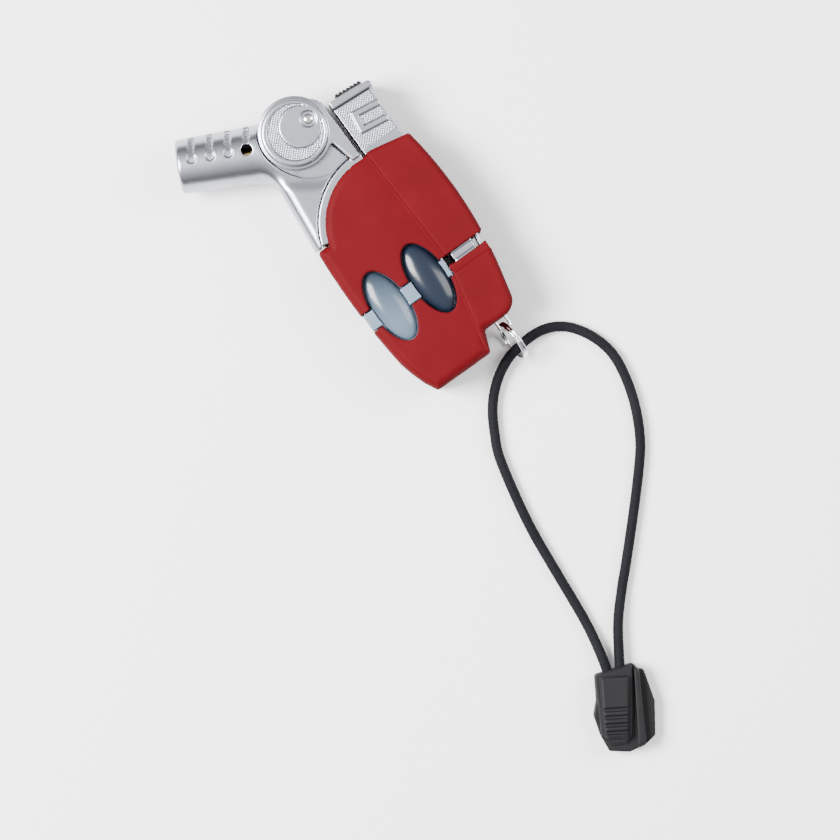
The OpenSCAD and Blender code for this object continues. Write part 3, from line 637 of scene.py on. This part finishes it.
def clip_body(x, y, z):
    u, v = clip_axes(x, y)
    plan = sd_poly(u, v, [
        (-4.2, -2), (-4.1, -8.7), (-5.1, -12.9), (-3.6, -18.4), (-1.6, -22.5), (3.6, -23), (8.2, -21.2),
        (10.5, -19.2), (10.9, -9.8), (8.5, -1.4), (7.1, -1.1), (5.8, 0.4),
    ]) - 0.9
    shape = slab(plan, z, 0, 7, 1.3, 0.8)
    recess = sd_poly(u, v, [(-7, 2), (-7, -24.5), (6.2, -24.5), (6.2, 2)])
    shape = without(shape, both(recess, 5.4 - z), 0.3)
    strip = sd_poly(u, v, [(7.6, 2), (13, 2), (13, -25), (8.6, -25)])
    shape = without(shape, both(strip, 4.2 - z, 0.3), 0.5)
    for socket in (-1.4, 2.4):
        hole = both(np.hypot(u - socket, z - 3) - CORD_R - 0.12, -4.4 - v)
        shape = without(shape, hole, 0.3)
    return shape


def clip_tongue(x, y, z):
    u, v = clip_axes(x, y)
    base = sd_poly(u, v, [(-4.5, -2), (-3.7, -19), (-1.8, -20.8), (2.2, -20.8), (4.1, -19), (5.3, 0.4)]) - 0.6
    pad = sd_poly(u, v, [(-3, -2.6), (-2.5, -18.9), (2.8, -18.9), (4, -2.6)]) - 0.6
    shape = either(slab(base, z, 5.5, 7, 0.5), slab(pad, z, 6, 8.8, 0.7), 0.3)
    for i in range(4):
        middle = -17.9 + 2.2 * i
        shape = without(shape, both(abs(v - middle) - 0.5, 8.1 - z), 0.25)
    return shape


make_lanyard()


# Handle shells
def crease_x(y):
    """Where the valley between the left side and the right block runs."""
    return np.where(y > -8, 8.1 - 0.04 * (y - 6), 7.4 + 0.208 * (y + 9.7))


def dip(x, y):
    """How far the top sinks: a crease, with a gentle slope on its left and a steep one on its right."""
    across = x - crease_x(y)
    slope = 0.1 + 0.65 * np.exp(np.minimum(across, 0) / 4)
    rise = 0.75 * np.exp(-((np.maximum(across, 0) / 0.5) ** 2))
    return np.where(across < 0, slope, rise)


def head_mouth(x, y):
    """Where the button and the head's stem come out of the handle."""
    right = BUTTON_X1 + FREE
    return sd_poly(x, y, [(-16.6, 12), (8, 18), (right, 26), (right, 40), (-16.6, 40)])


def cut_end_holes(shape, x, y, z, edge=0.0):
    """Cuts the closed end's holes: two for the lug, one for the filling valve and one for the adjuster."""
    for side in (-1, 1):
        wire = both(np.hypot(x - LUG_X - LUG_HALF * side, z - MID) - LUG_HOLE_R, y + BLOCK_END - 4)
        shape = without(shape, wire)
    for port_x, r in END_PORTS:
        shape = without(shape, both(np.hypot(x - port_x, z - MID) - r, y + TAIL - 4), edge)
    return shape


def half_shell(x, y, z, holes):
    outline = sd_handle(x, y)
    edge = 2.9 - 1.3 * step(4, 11, x)
    sunk = z + dip(x, y)
    shape = slab(outline, sunk, MID - 5, BODY_T, edge)
    shape = both(shape, (outline + 0.3 - (z - MID)) * 0.7)
    shape = both(shape, MID - z)
    cavity = np.maximum(outline + SHELL_WALL, sunk - SHELL_IN)
    mouth = np.maximum(head_mouth(x, y), sunk - SHELL_IN)
    shape = without(shape, np.minimum(cavity, mouth))
    for window in WINDOWS:
        shape = without(shape, sd_ellipse(x, y, window, WINDOW_A + 0.4, WINDOW_B + 0.4), 0.45)
    shape = without(shape, sd_box2(x, y, -30, SPLIT_Y0, BLOCK_X, SPLIT_Y1), 0.3)
    shape = cut_end_holes(shape, x, y, z, 0.25)
    if holes:
        for screw in CASE_SCREWS:
            shape = without(shape, np.maximum(sd_circle(x, y, screw, SCREW_HOLE_R), MID + 2 - z), 0.3)
    return shape


def upper_shell(x, y, z, holes):
    return both(half_shell(x, y, z, holes), SPLIT_Y1 - y, 0.35)


def lower_shell(x, y, z, holes):
    shape = both(half_shell(x, y, z, holes), y - LIP_Y, 0.3)
    lip = np.maximum(sd_box2(x, y, BLOCK_X - 1, LIP_Y - 2.7, 30, 2), BODY_T - 0.9 - z)
    side = sd_box2(x, y, right_x(LIP_Y) - 0.6, LIP_Y - 2.7, 30, 2)
    return without(shape, np.minimum(lip, side), 0.25)


def make_shells():
    ends = (("upper", upper_shell, -5, SHOULDER_TOP), ("lower", lower_shell, -TAIL, -6))
    for end, shape, low_y, high_y in ends:
        lo = (-LEFT_W, low_y, MID)
        hi = (RIGHT_W, high_y, BODY_T)
        for back in (False, True):
            side = "back" if back else "front"
            solid(
                f"{end}_{side}_cover", "handle", "red_coat", partial(shape, holes=back), lo, hi, 0.3,
                [f"{end}_{side}_shell"], flip=back,
            )


make_shells()


# Chassis halves
POST_R = 1.8
KNURL_PITCH = 0.66


def crescent(x, y, room=0.0):
    """The sunk crescent in the ear's disc, narrowed by room on both edges."""
    outer = sd_circle(x, y, DISC + [0.3, 0], 8 - room)
    return np.maximum(outer, -sd_circle(x, y, DISC + [2.2, 0.5], 6.1 + room))


def shoulder_sector(x, y, start):
    """Negative between the angle start and the shoulder's left end, seen from its centre."""
    angle = np.degrees(np.arctan2(y - SHOULDER[1], x - SHOULDER[0]))
    return np.maximum(start - angle, angle - 161) * 0.35


def chassis_plate(x, y, z):
    """The top plate with the shoulder band, and the walls under its edges."""
    inner = sd_handle(x, y) + SHELL_WALL + FIT
    band = sd_circle(x, y, SHOULDER, BAND_R)
    tab = sd_box2(x, y, 3.4, SHOULDER_TOP - 4, 6, SHOULDER_TOP + 1)
    in_slot = sd_box2(x, y, BLOCK_X, LIP_Y - 0.3, 30, SPLIT_Y1 + 0.3) <= 0
    sunk = z + dip(x, y) + 0.8 * in_slot
    cover = both(inner, sunk - CHASSIS_OUT, 1.7)
    shoulder = np.minimum(np.maximum(band, shoulder_sector(x, y, 84)), tab)
    plate_floor = CHASSIS_IN + 0.1 - 0.5 * step(BUTTON_X0, BUTTON_X0 - 1, x)
    shape = np.maximum(np.minimum(cover, both(shoulder, z - CHASSIS_OUT, 0.3)), plate_floor - z)
    gap = np.minimum(head_mouth(x, y), sd_box2(x, y, 5, 20, 40, 40))
    wall = np.maximum(np.maximum(cover, -inner - CHASSIS_WALL), -gap)
    shape = np.minimum(shape, np.maximum(wall, MID - z))
    ring = np.maximum(band, SHOULDER_R + FIT - BAND_R - band)
    ring = np.maximum(ring, shoulder_sector(x, y, 104))
    return np.minimum(shape, slab(ring, z, MID, CHASSIS_OUT, 0.3))


def ear_with_disc(x, y, z, front):
    """The ear that holds the head, with its raised disc."""
    ear = np.minimum(sd_circle(x, y, DISC, FLANGE_R), sd_poly(x, y, [
        PIVOT + [-3, 2], PIVOT + [3.1, 2.9], PIVOT + [5.8, 1.9], (6, SHOULDER_TOP),
        (3.4, SHOULDER_TOP), PIVOT + [1.6, -9.6], PIVOT + [-6, -11.5],
    ]))
    if not front:
        ear = np.minimum(ear, sd_poly(x, y, [
            PIVOT + [-6, -11.4], PIVOT + [-4.6, -15.2], (3.4, SHOULDER_TOP + 1), PIVOT + [1.6, -9.6],
        ]))
    disc = slab(sd_circle(x, y, DISC, DISC_R), z, EAR_IN, BODY_T, 0.75)
    disc = without(disc, np.maximum(crescent(x, y), BODY_T - 0.5 - z), 0.12)
    return either(slab(ear, z, EAR_IN, EAR_OUT, 0.5, 0.3), disc, 0.15)


def add_posts_and_rib(shape, x, y, z):
    """Adds the screw posts, the igniter's stop and the rib in the slot, and opens the slot beside it."""
    for post in CASE_SCREWS:
        shape = np.minimum(shape, slab(sd_circle(x, y, post, POST_R), z, MID, CHASSIS_IN + 0.1))
    for x0, x1 in ((BLOCK_X, BLOCK_X + 2.1), (RIGHT_W - 4.8, RIGHT_W - 2.2)):
        beside = sd_box2(x, y, x0, LIP_Y - 0.3, x1, SPLIT_Y1 + 0.3)
        shape = np.maximum(shape, -np.maximum(beside, CHASSIS_IN - 0.5 - z))
    stop = sd_box2(x, y, 9.6, 2.5, 15.6, 3.9)
    shape = np.minimum(shape, np.maximum(stop, np.maximum(MID - z, z - CHASSIS_IN)))
    rib = sd_box2(x, y, BLOCK_X + 2.3, LIP_Y + FREE, RIGHT_W - 5, SPLIT_Y1 - 0.5)
    return np.minimum(shape, slab(rib, z, CHASSIS_OUT - 0.1, BODY_T - 1, 0.25))


def half_chassis(x, y, z, front):
    shape = np.minimum(chassis_plate(x, y, z), ear_with_disc(x, y, z, front))
    shape = add_posts_and_rib(shape, x, y, z)
    screw_head = np.maximum(sd_circle(x, y, PIVOT, 2.3), BODY_T - 0.8 - z)
    shape = without(shape, np.minimum(screw_head, sd_circle(x, y, PIVOT, 0.85)), 0.12)
    for window in WINDOWS:
        shape = np.maximum(shape, -sd_ellipse(x, y, window, WINDOW_A + 0.9, WINDOW_B + 0.9))
    for x0, x1 in ((-30, -15), (-11, 1)):
        shape = np.maximum(shape, -sd_box2(x, y, x0, SPLIT_Y0, x1, SPLIT_Y1))
    shape = cut_end_holes(shape, x, y, z)
    if not front:
        for screw in CASE_SCREWS:
            shape = np.maximum(shape, -sd_circle(x, y, screw, 1))
            shape = np.maximum(shape, -np.maximum(sd_circle(x, y, screw, 1.75), CHASSIS_OUT - 0.8 - z))
    return shape


def make_chassis():
    lo = (-19.5, -33, MID)
    hi = (RIGHT_W - 1, PIVOT[1] + 9.8, BODY_T)
    for front in (True, False):
        name = "front_chassis" if front else "back_chassis"
        solid(
            name + "_casting", "handle", "satin_metal", partial(half_chassis, front=front), lo, hi, 0.3,
            [name], flip=not front,
        )


make_chassis()


def knurl(x, y, pitch, height, turn=45):
    """Height of small pyramids in two crossed rows."""
    a = math.radians(turn)
    u = (x * math.cos(a) + y * math.sin(a)) / pitch
    v = (y * math.cos(a) - x * math.sin(a)) / pitch
    ridge_u = 1 - 2 * abs(u - np.floor(u) - 0.5)
    ridge_v = 1 - 2 * abs(v - np.floor(v) - 0.5)
    return height * np.minimum(1, 1.3 * ridge_u) * np.minimum(1, 1.3 * ridge_v)


def crescent_floor(x, y, z):
    floor = BODY_T - 0.45 + knurl(x, y, KNURL_PITCH, 0.16)
    return np.maximum(np.maximum(crescent(x, y, 0.05), z - floor), BODY_T - 0.75 - z)


for flip in (False, True):
    solid(
        "back_crescent_grip" if flip else "front_crescent_grip", "handle", "knurled_metal", crescent_floor,
        (DISC[0] - 8, DISC[1] - 8, BODY_T - 0.8), (DISC[0] + 9, DISC[1] + 8, BODY_T - 0.2), 0.12, flip=flip,
    )


# Burner housing
def tube_axes(x, y):
    """s runs along the burner tube from its root, t across it."""
    dx, dy = x - TUBE_ROOT[0], y - TUBE_ROOT[1]
    return dx * TUBE_AXIS[0] + dy * TUBE_AXIS[1], dx * TUBE_SIDE[0] + dy * TUBE_SIDE[1]


NECK_PLAN = (
    [tuple(PIVOT + p) for p in ((-1, 4), (-8, 5), (-16, 3), (-21, -4), (-19.4, -7.6), (-18.3, -10.4))]
    + [tuple(polar(SHOULDER, BAND_R + 2.4, 162.8))]
    + arc(SHOULDER, BAND_R + 0.25, 162, 102, 24)
    + [tuple(polar(SHOULDER, BAND_R + 0.25, 95)), (2.9, SHOULDER_TOP + 1.6)]
    + [tuple(PIVOT + p) for p in ((1.2, -9.4), (0, -5))]
)
NECK_HOLLOW = (
    [tuple(PIVOT + p) for p in ((-9, -5), (-15.6, -9), (-16, -12))]
    + [tuple(polar(SHOULDER, BAND_R + 2.6, 155))]
    + arc(SHOULDER, BAND_R + 1.65, 155, 125, 6)
)
GRIP_S = [20.7, 15.3, 10.1]
GRIP_T = -1.1
GRIP_END = -7.3
GRIP_R = 0.85
KEY_R = 1.3
AIR_S = 4.8
AIR_T = -1.2
HEAD_TURN = 60


def tube_radius(s):
    return ROOT_R + (MOUTH_R - ROOT_R) * (s + 6) / (TUBE_L + 6)


def flange_reach(x, y):
    """How far from the pivot the fixed ears reach, over the head's whole turn."""
    away = DISC - PIVOT
    offset = math.hypot(*away)
    lean = math.degrees(math.atan2(away[1], away[0])) % 360
    facing = np.degrees(np.arctan2(y - PIVOT[1], x - PIVOT[0])) % 360
    facing = np.where(facing < 60, facing + 360, facing)
    off = np.radians(np.where(facing < lean, lean - facing, np.maximum(facing - lean - HEAD_TURN, 0)))
    return offset * np.cos(off) + np.sqrt(FLANGE_R ** 2 - (offset * np.sin(off)) ** 2) + 0.3


def cut_grips(shape, s, t, radial, front):
    """Cuts the keyhole grips and the air hole, with its own grip, into the burner tube's front."""
    floor = tube_radius(s) - 0.5 - radial
    for grip in GRIP_S:
        stem = sd_capsule(s, t, (grip, GRIP_T), (grip - 0.5, GRIP_END), GRIP_R)
        key = np.minimum(np.hypot(s - grip, t - GRIP_T) - KEY_R, stem)
        shape = both(shape, -np.maximum(np.maximum(key, floor), -front), 0.15)
    slot = sd_capsule(s, t, (AIR_S, AIR_T), (AIR_S - 0.6, GRIP_END), GRIP_R)
    shape = both(shape, -np.maximum(np.maximum(slot, floor), -front), 0.15)
    return both(shape, -(np.hypot(s - AIR_S, t - AIR_T) - 1.6), 0.25)


def burner_housing(x, y, z):
    s, t = tube_axes(x, y)
    up = z - MID
    radial = np.hypot(t, up)
    barrel = both(radial - tube_radius(s), s - TUBE_L, 0.9)
    barrel = np.maximum(barrel, -6 - s)
    reach = np.hypot(x - PIVOT[0], y - PIVOT[1])
    over = reach - flange_reach(x, y)
    rise = KNUCKLE_HALF + (NECK_HALF - KNUCKLE_HALF) * step(0, 5, over)
    left_edge = (y - 39.6) * 0.1 - (x + 18.3)
    neck = both(sd_poly(x, y, NECK_PLAN), abs(up) - rise, 0.5)
    neck = np.maximum(neck, both(left_edge, abs(up) - rise, 3.5))
    shape = blend(barrel, neck, 4)
    shape = np.minimum(shape, both(reach - 6, abs(up) - KNUCKLE_HALF, 0.4))
    shape = both(shape, -np.maximum(over, KNUCKLE_HALF - abs(up)), 0.5)
    shape = np.maximum(shape, -np.maximum(sd_box2(x, y, -4.3, 30, 8, 58), z - (MID - 1.5)))
    shape = np.maximum(shape, STEM_R - reach)
    roof = abs(up) - KNUCKLE_HALF + 0.8 - np.maximum(s - 3, 0)
    shape = both(shape, -np.maximum(np.maximum(radial - BORE_R, -2.5 - s), roof), 0.5)
    hollow = np.maximum(sd_poly(x, y, NECK_HOLLOW), abs(up) - KNUCKLE_HALF + 1.4)
    shape = np.maximum(shape, -hollow)
    return cut_grips(shape, s, t, radial, np.minimum(z - MID, 1))


solid(
    "burner_casting", "burner_head", "satin_metal", burner_housing,
    (-42.5, 17.5, 0), (7, 68.5, BODY_T), 0.3, ["burner_housing"],
)


# Button, cap and safety slide
RIB_TURN = math.radians(-8)


def rib_plan(x, y):
    """A square-ended U, open to the right."""
    dx, dy = x - 14.4, y - 40.6
    u = dx * math.cos(RIB_TURN) + dy * math.sin(RIB_TURN)
    v = dy * math.cos(RIB_TURN) - dx * math.sin(RIB_TURN)
    outer = sd_box2(u, v, -4.2, -3.3, 4.6, 3.3)
    inner = sd_box2(u, v, -2.4, -1.6, 9, 1.6)
    return without(outer, inner)


def button_shape(x, y, z):
    plan = sd_poly(x, y, [
        (BUTTON_X0, BUTTON_Y0), (BUTTON_X1, BUTTON_Y0),
        (BUTTON_X1, BUTTON_Y1 - 0.8), (BUTTON_X0, BUTTON_Y1),
    ])
    shape = both(plan, abs(z - MID) - BUTTON_HALF, 0.4)
    under = sd_box2(
        x, y, BUTTON_X0 + BUTTON_WALL, BUTTON_Y0 - 1, BUTTON_X1 - BUTTON_WALL, BUTTON_Y0 + 3,
    )
    hollow = np.maximum(np.minimum(plan + BUTTON_WALL, under), abs(z - MID) - BUTTON_HALF + BUTTON_WALL)
    shape = np.maximum(shape, -hollow)
    toe = both(sd_box2(x, y, 6.2, 29.2, BUTTON_X0 + 0.2, 30.2), abs(z - MID - 1) - 2)
    rib = both(rib_plan(x, y), abs(z - MID) - BUTTON_HALF - 0.9, 0.25)
    rib = np.maximum(rib, BUTTON_HALF - 0.5 - abs(z - MID))
    return np.minimum(np.minimum(shape, toe), rib)


def button_grip(x, y, z):
    field = sd_poly(x, y, [
        (BUTTON_X0 + 0.5, 33.6), (BUTTON_X1 - 0.5, 33.6), (BUTTON_X1 - 0.5, BUTTON_Y1 - 1.3),
        (BUTTON_X0 + 0.5, BUTTON_Y1 - 0.6),
    ])
    field = np.maximum(field, 0.3 - rib_plan(x, y))
    top = MID + BUTTON_HALF
    return np.maximum(np.maximum(field, z - top - knurl(x, y, KNURL_PITCH, 0.18)), top - 0.3 - z)


def button_cap(x, y, z):
    plan = sd_poly(x, y, [
        (BUTTON_X0, BUTTON_Y1 + 0.1), (BUTTON_X1, BUTTON_Y1 - 0.7), (BUTTON_X1 + 0.8, BUTTON_Y1 - 0.6),
        (BUTTON_X1 + 1.2, BUTTON_Y1 - 0.1), (BUTTON_X1 + 1.2, BUTTON_Y1 + 0.6),
        (BUTTON_X1 + 0.4, BUTTON_Y1 + 1.4), (BUTTON_X0, BUTTON_Y1 + 2.4),
    ])
    return both(plan, abs(z - MID) - BUTTON_HALF - 1.1, 0.45)


def lock_slide(x, y, z):
    slope = math.atan2(-1, BUTTON_X1 - BUTTON_X0)
    dx, dy = x - BUTTON_X0 - 2.5, y - BUTTON_Y1 - 2.3
    u = dx * math.cos(slope) + dy * math.sin(slope)
    v = dy * math.cos(slope) - dx * math.sin(slope)
    plan = sd_box2(u, v, 0, 0.1, 8.7, 0.7)
    for tooth in range(7):
        plan = np.minimum(plan, sd_circle(u, v, (0.75 + 1.2 * tooth, 0.72), 0.6))
    return both(np.maximum(plan, 0.1 - v), abs(z - MID) - 4, 0.2)


def make_button():
    lo = (6, BUTTON_Y0, 1.5)
    hi = (BUTTON_X1 + 1.4, BUTTON_Y1 + 3, BODY_T - 1.5)
    solid("button_body", "button", "satin_metal", button_shape, lo, hi, 0.25, ["ignition_button"])
    solid("button_top", "button", "satin_metal", button_cap, (7, 46, 1.5), hi, 0.22, ["button_cap"])
    for flip in (False, True):
        solid(
            "back_button_grip" if flip else "front_button_grip", "button", "knurled_metal", button_grip,
            (7.5, 33.5, 14.9), (19.2, 48, 15.6), 0.12, flip=flip,
        )
    solid(
        "safety_catch", "safety_slide", "black_plastic", lock_slide, (9, 49, 4.8), (19, 52, 13.2), 0.15,
        ["lock_slide"],
    )


make_button()


# Fuel tank with its windows and strap
def half_tank(x, y, z):
    plan = sd_poly(x, y, [(-14.4, -24.7), (BUTTON_X0, -24.7), (BUTTON_X0, 10), (-17, 10), (-17, -17)])
    top = MID + INNER_HALF - FIT
    shape = slab(plan, z, MID, top, 0.3)
    for window in WINDOWS:
        u, v = (x - window[0]) / WINDOW_A, (y - window[1]) / WINDOW_B
        dome = BODY_T - 2.6 + 2.5 * np.sqrt(np.maximum(1.02 - u * u - v * v, 0))
        pane = np.maximum(sd_ellipse(x, y, window, WINDOW_A, WINDOW_B), (z - dome) * 0.7)
        shape = np.minimum(shape, np.maximum(pane, MID - z))
    shape = np.maximum(shape, -slab(plan + TANK_WALL, z, MID - 3, top - TANK_WALL))
    for hole_x, hole_y in ((-6, -24.7), (-3.5, 10)):
        bore = np.maximum(np.hypot(x - hole_x, z - MID) - 2.05, abs(y - hole_y) - 2)
        shape = np.maximum(shape, -bore)
    return shape


def tank_strap(x, y, z):
    """The clear strap that runs across both windows."""
    top = MID + INNER_HALF - FIT
    shape = 1e3
    for x0, x1, low, high in (
        (-20.1, -15.6, MID + 1, BODY_T - 0.8), (-11.6, -2.2, top - 0.1, BODY_T - 0.6),
        (4.6, 7.7, CHASSIS_OUT + 0.1, BODY_T - 0.8),
    ):
        shape = np.minimum(shape, slab(sd_box2(x, y, x0, STRAP_Y0, x1, STRAP_Y1), z, low, high, 0.4))
    for window in WINDOWS:
        shape = np.maximum(shape, -sd_ellipse(x, y, window, WINDOW_A - 0.15, WINDOW_B - 0.15))
    panel = np.maximum(sd_box2(x, y, -7.6, STRAP_Y0 + 0.6, -3, STRAP_Y1 - 0.6), BODY_T - 0.75 - z)
    return without(shape, panel, 0.1)


for flip in (False, True):
    side = "back" if flip else "front"
    solid(
        f"{side}_tank_moulding", "handle", "clear_smoke", half_tank, (-20.5, -25, MID), (8, 10.5, BODY_T),
        0.25, [f"{side}_tank_half"], flip=flip,
    )
    solid(
        f"{side}_tank_strap", "handle", "clear_plastic", tank_strap, (-20.5, -10, MID), (8, -4, BODY_T), 0.2,
        [f"{side}_tank_half"], flip=flip,
    )


# Turned and bent metal pieces
def rivet(up):
    """A domed screw head with its shank."""
    head_r, shank_r = 1.5, 0.8
    shank_z, head_z, dome_z = EAR_IN - 2.6, BODY_T - 0.8, BODY_T - 0.75
    steps = np.linspace(math.pi / 2, 0.02, 14)
    dome = [(head_r * math.sin(a), dome_z + 0.7 * math.cos(a)) for a in steps]
    shank = [(0, shank_z), (shank_r, shank_z), (shank_r, head_z), (head_r, head_z)]
    corners, faces = lathe(shank + dome + [(0, dome_z + 0.7)])
    corners = corners + [PIVOT[0], PIVOT[1], 0]
    if up:
        return corners, faces
    corners[:, 2] = BODY_T - corners[:, 2]
    return corners, [face[::-1] for face in faces]


def split_ring():
    """Two turns of wire, leaned against the lug."""
    lean = math.radians(12)
    r, wire, pitch = 6.2, 0.45, 0.8134
    turn = np.linspace(0, 4 * math.pi - 0.25, 220)
    rise = pitch * (turn / (2 * math.pi) - 1)
    helix = np.stack([(r - wire) * np.cos(turn), (r - wire) * np.sin(turn), rise], 1)
    corners, faces = tube(helix, wire, 16)
    a = math.pi / 2 + lean
    x = corners[:, 0] * math.cos(a) + corners[:, 2] * math.sin(a)
    z = -corners[:, 0] * math.sin(a) + corners[:, 2] * math.cos(a)
    lift = r * math.cos(lean) + 0.87 * math.sin(lean)
    centre = [10.9, -BLOCK_END - 0.9 - r, lift]
    return np.stack([x, corners[:, 1], z], 1) + centre, faces


def lug():
    """A closed wire loop with rounded corners."""
    x0, x1, y0, y1, r = 9.75, 13.05, -BLOCK_END - 3.35, -BLOCK_END + 3.4, 0.9
    centres = [(x1 - r, y0 + r, -90), (x1 - r, y1 - r, 0), (x0 + r, y1 - r, 90), (x0 + r, y0 + r, 180)]
    route = [(x, y, MID) for cx, cy, a in centres for x, y in arc((cx, cy), r, a, a + 90, 10)]
    return tube(route, 0.45, 20, closed=True)


piece("pivot_rivets", "handle", "bright_steel", *joined([rivet(True), rivet(False)]), ["pivot_screws"])
piece("ring_coil", "lanyard", "bright_steel", *split_ring(), ["split_ring"])
piece("lug_loop", "handle", "bright_steel", *lug(), ["lanyard_lug"])


def grip_strip(grip, t0):
    """The ridged floor of one groove on the burner tube."""
    t = np.linspace(t0, GRIP_END, 96)
    across = np.linspace(-0.8, 0.8, 7)
    ridge_pitch = 0.55
    corners, faces = [], []
    for layer in (0, 1):
        for tt in t:
            s = grip + 0.08 * (tt - GRIP_T) + across
            depth = 0.42 - 0.14 * math.sin(2 * math.pi * tt / ridge_pitch) if layer else 0.75
            r = tube_radius(s) - depth
            up = np.sqrt(np.maximum(r ** 2 - tt ** 2, 0.05))
            xy = TUBE_ROOT + np.outer(s, TUBE_AXIS) + tt * TUBE_SIDE
            corners.append(np.column_stack([xy, MID + up]))
    rows, columns = len(t), len(across)
    name = np.arange(2 * rows * columns).reshape(2, rows, columns)
    for layer in (0, 1):
        for i in range(rows - 1):
            for j in range(columns - 1):
                near, far = name[layer, i], name[layer, i + 1]
                quad = [near[j], near[j + 1], far[j + 1], far[j]]
                faces.append(quad if layer else quad[::-1])
    rim = [name[:, i, 0] for i in range(rows)]
    rim += [name[:, -1, j] for j in range(1, columns)]
    rim += [name[:, i, -1] for i in range(rows - 2, -1, -1)]
    rim += [name[:, 0, j] for j in range(columns - 2, 0, -1)]
    for k in range(len(rim)):
        a, b = rim[k], rim[(k + 1) % len(rim)]
        faces.append([a[0], b[0], b[1], a[1]])
    return np.vstack(corners), faces


strips = [grip_strip(s, GRIP_T - 0.9) for s in GRIP_S] + [grip_strip(AIR_S, -3)]
piece("tube_grips", "burner_head", "knurled_metal", *joined(strips))


# Everything else keeps its CAD shape and takes the finish of its slot
def dress_cad_nodes():
    for part in frame["record"]["subparts"]:
        node = frame["nodes"][part["node"]]
        node.data.materials.clear()
        node.data.materials.append(MATERIALS[part["material_slot"]])


dress_cad_nodes()
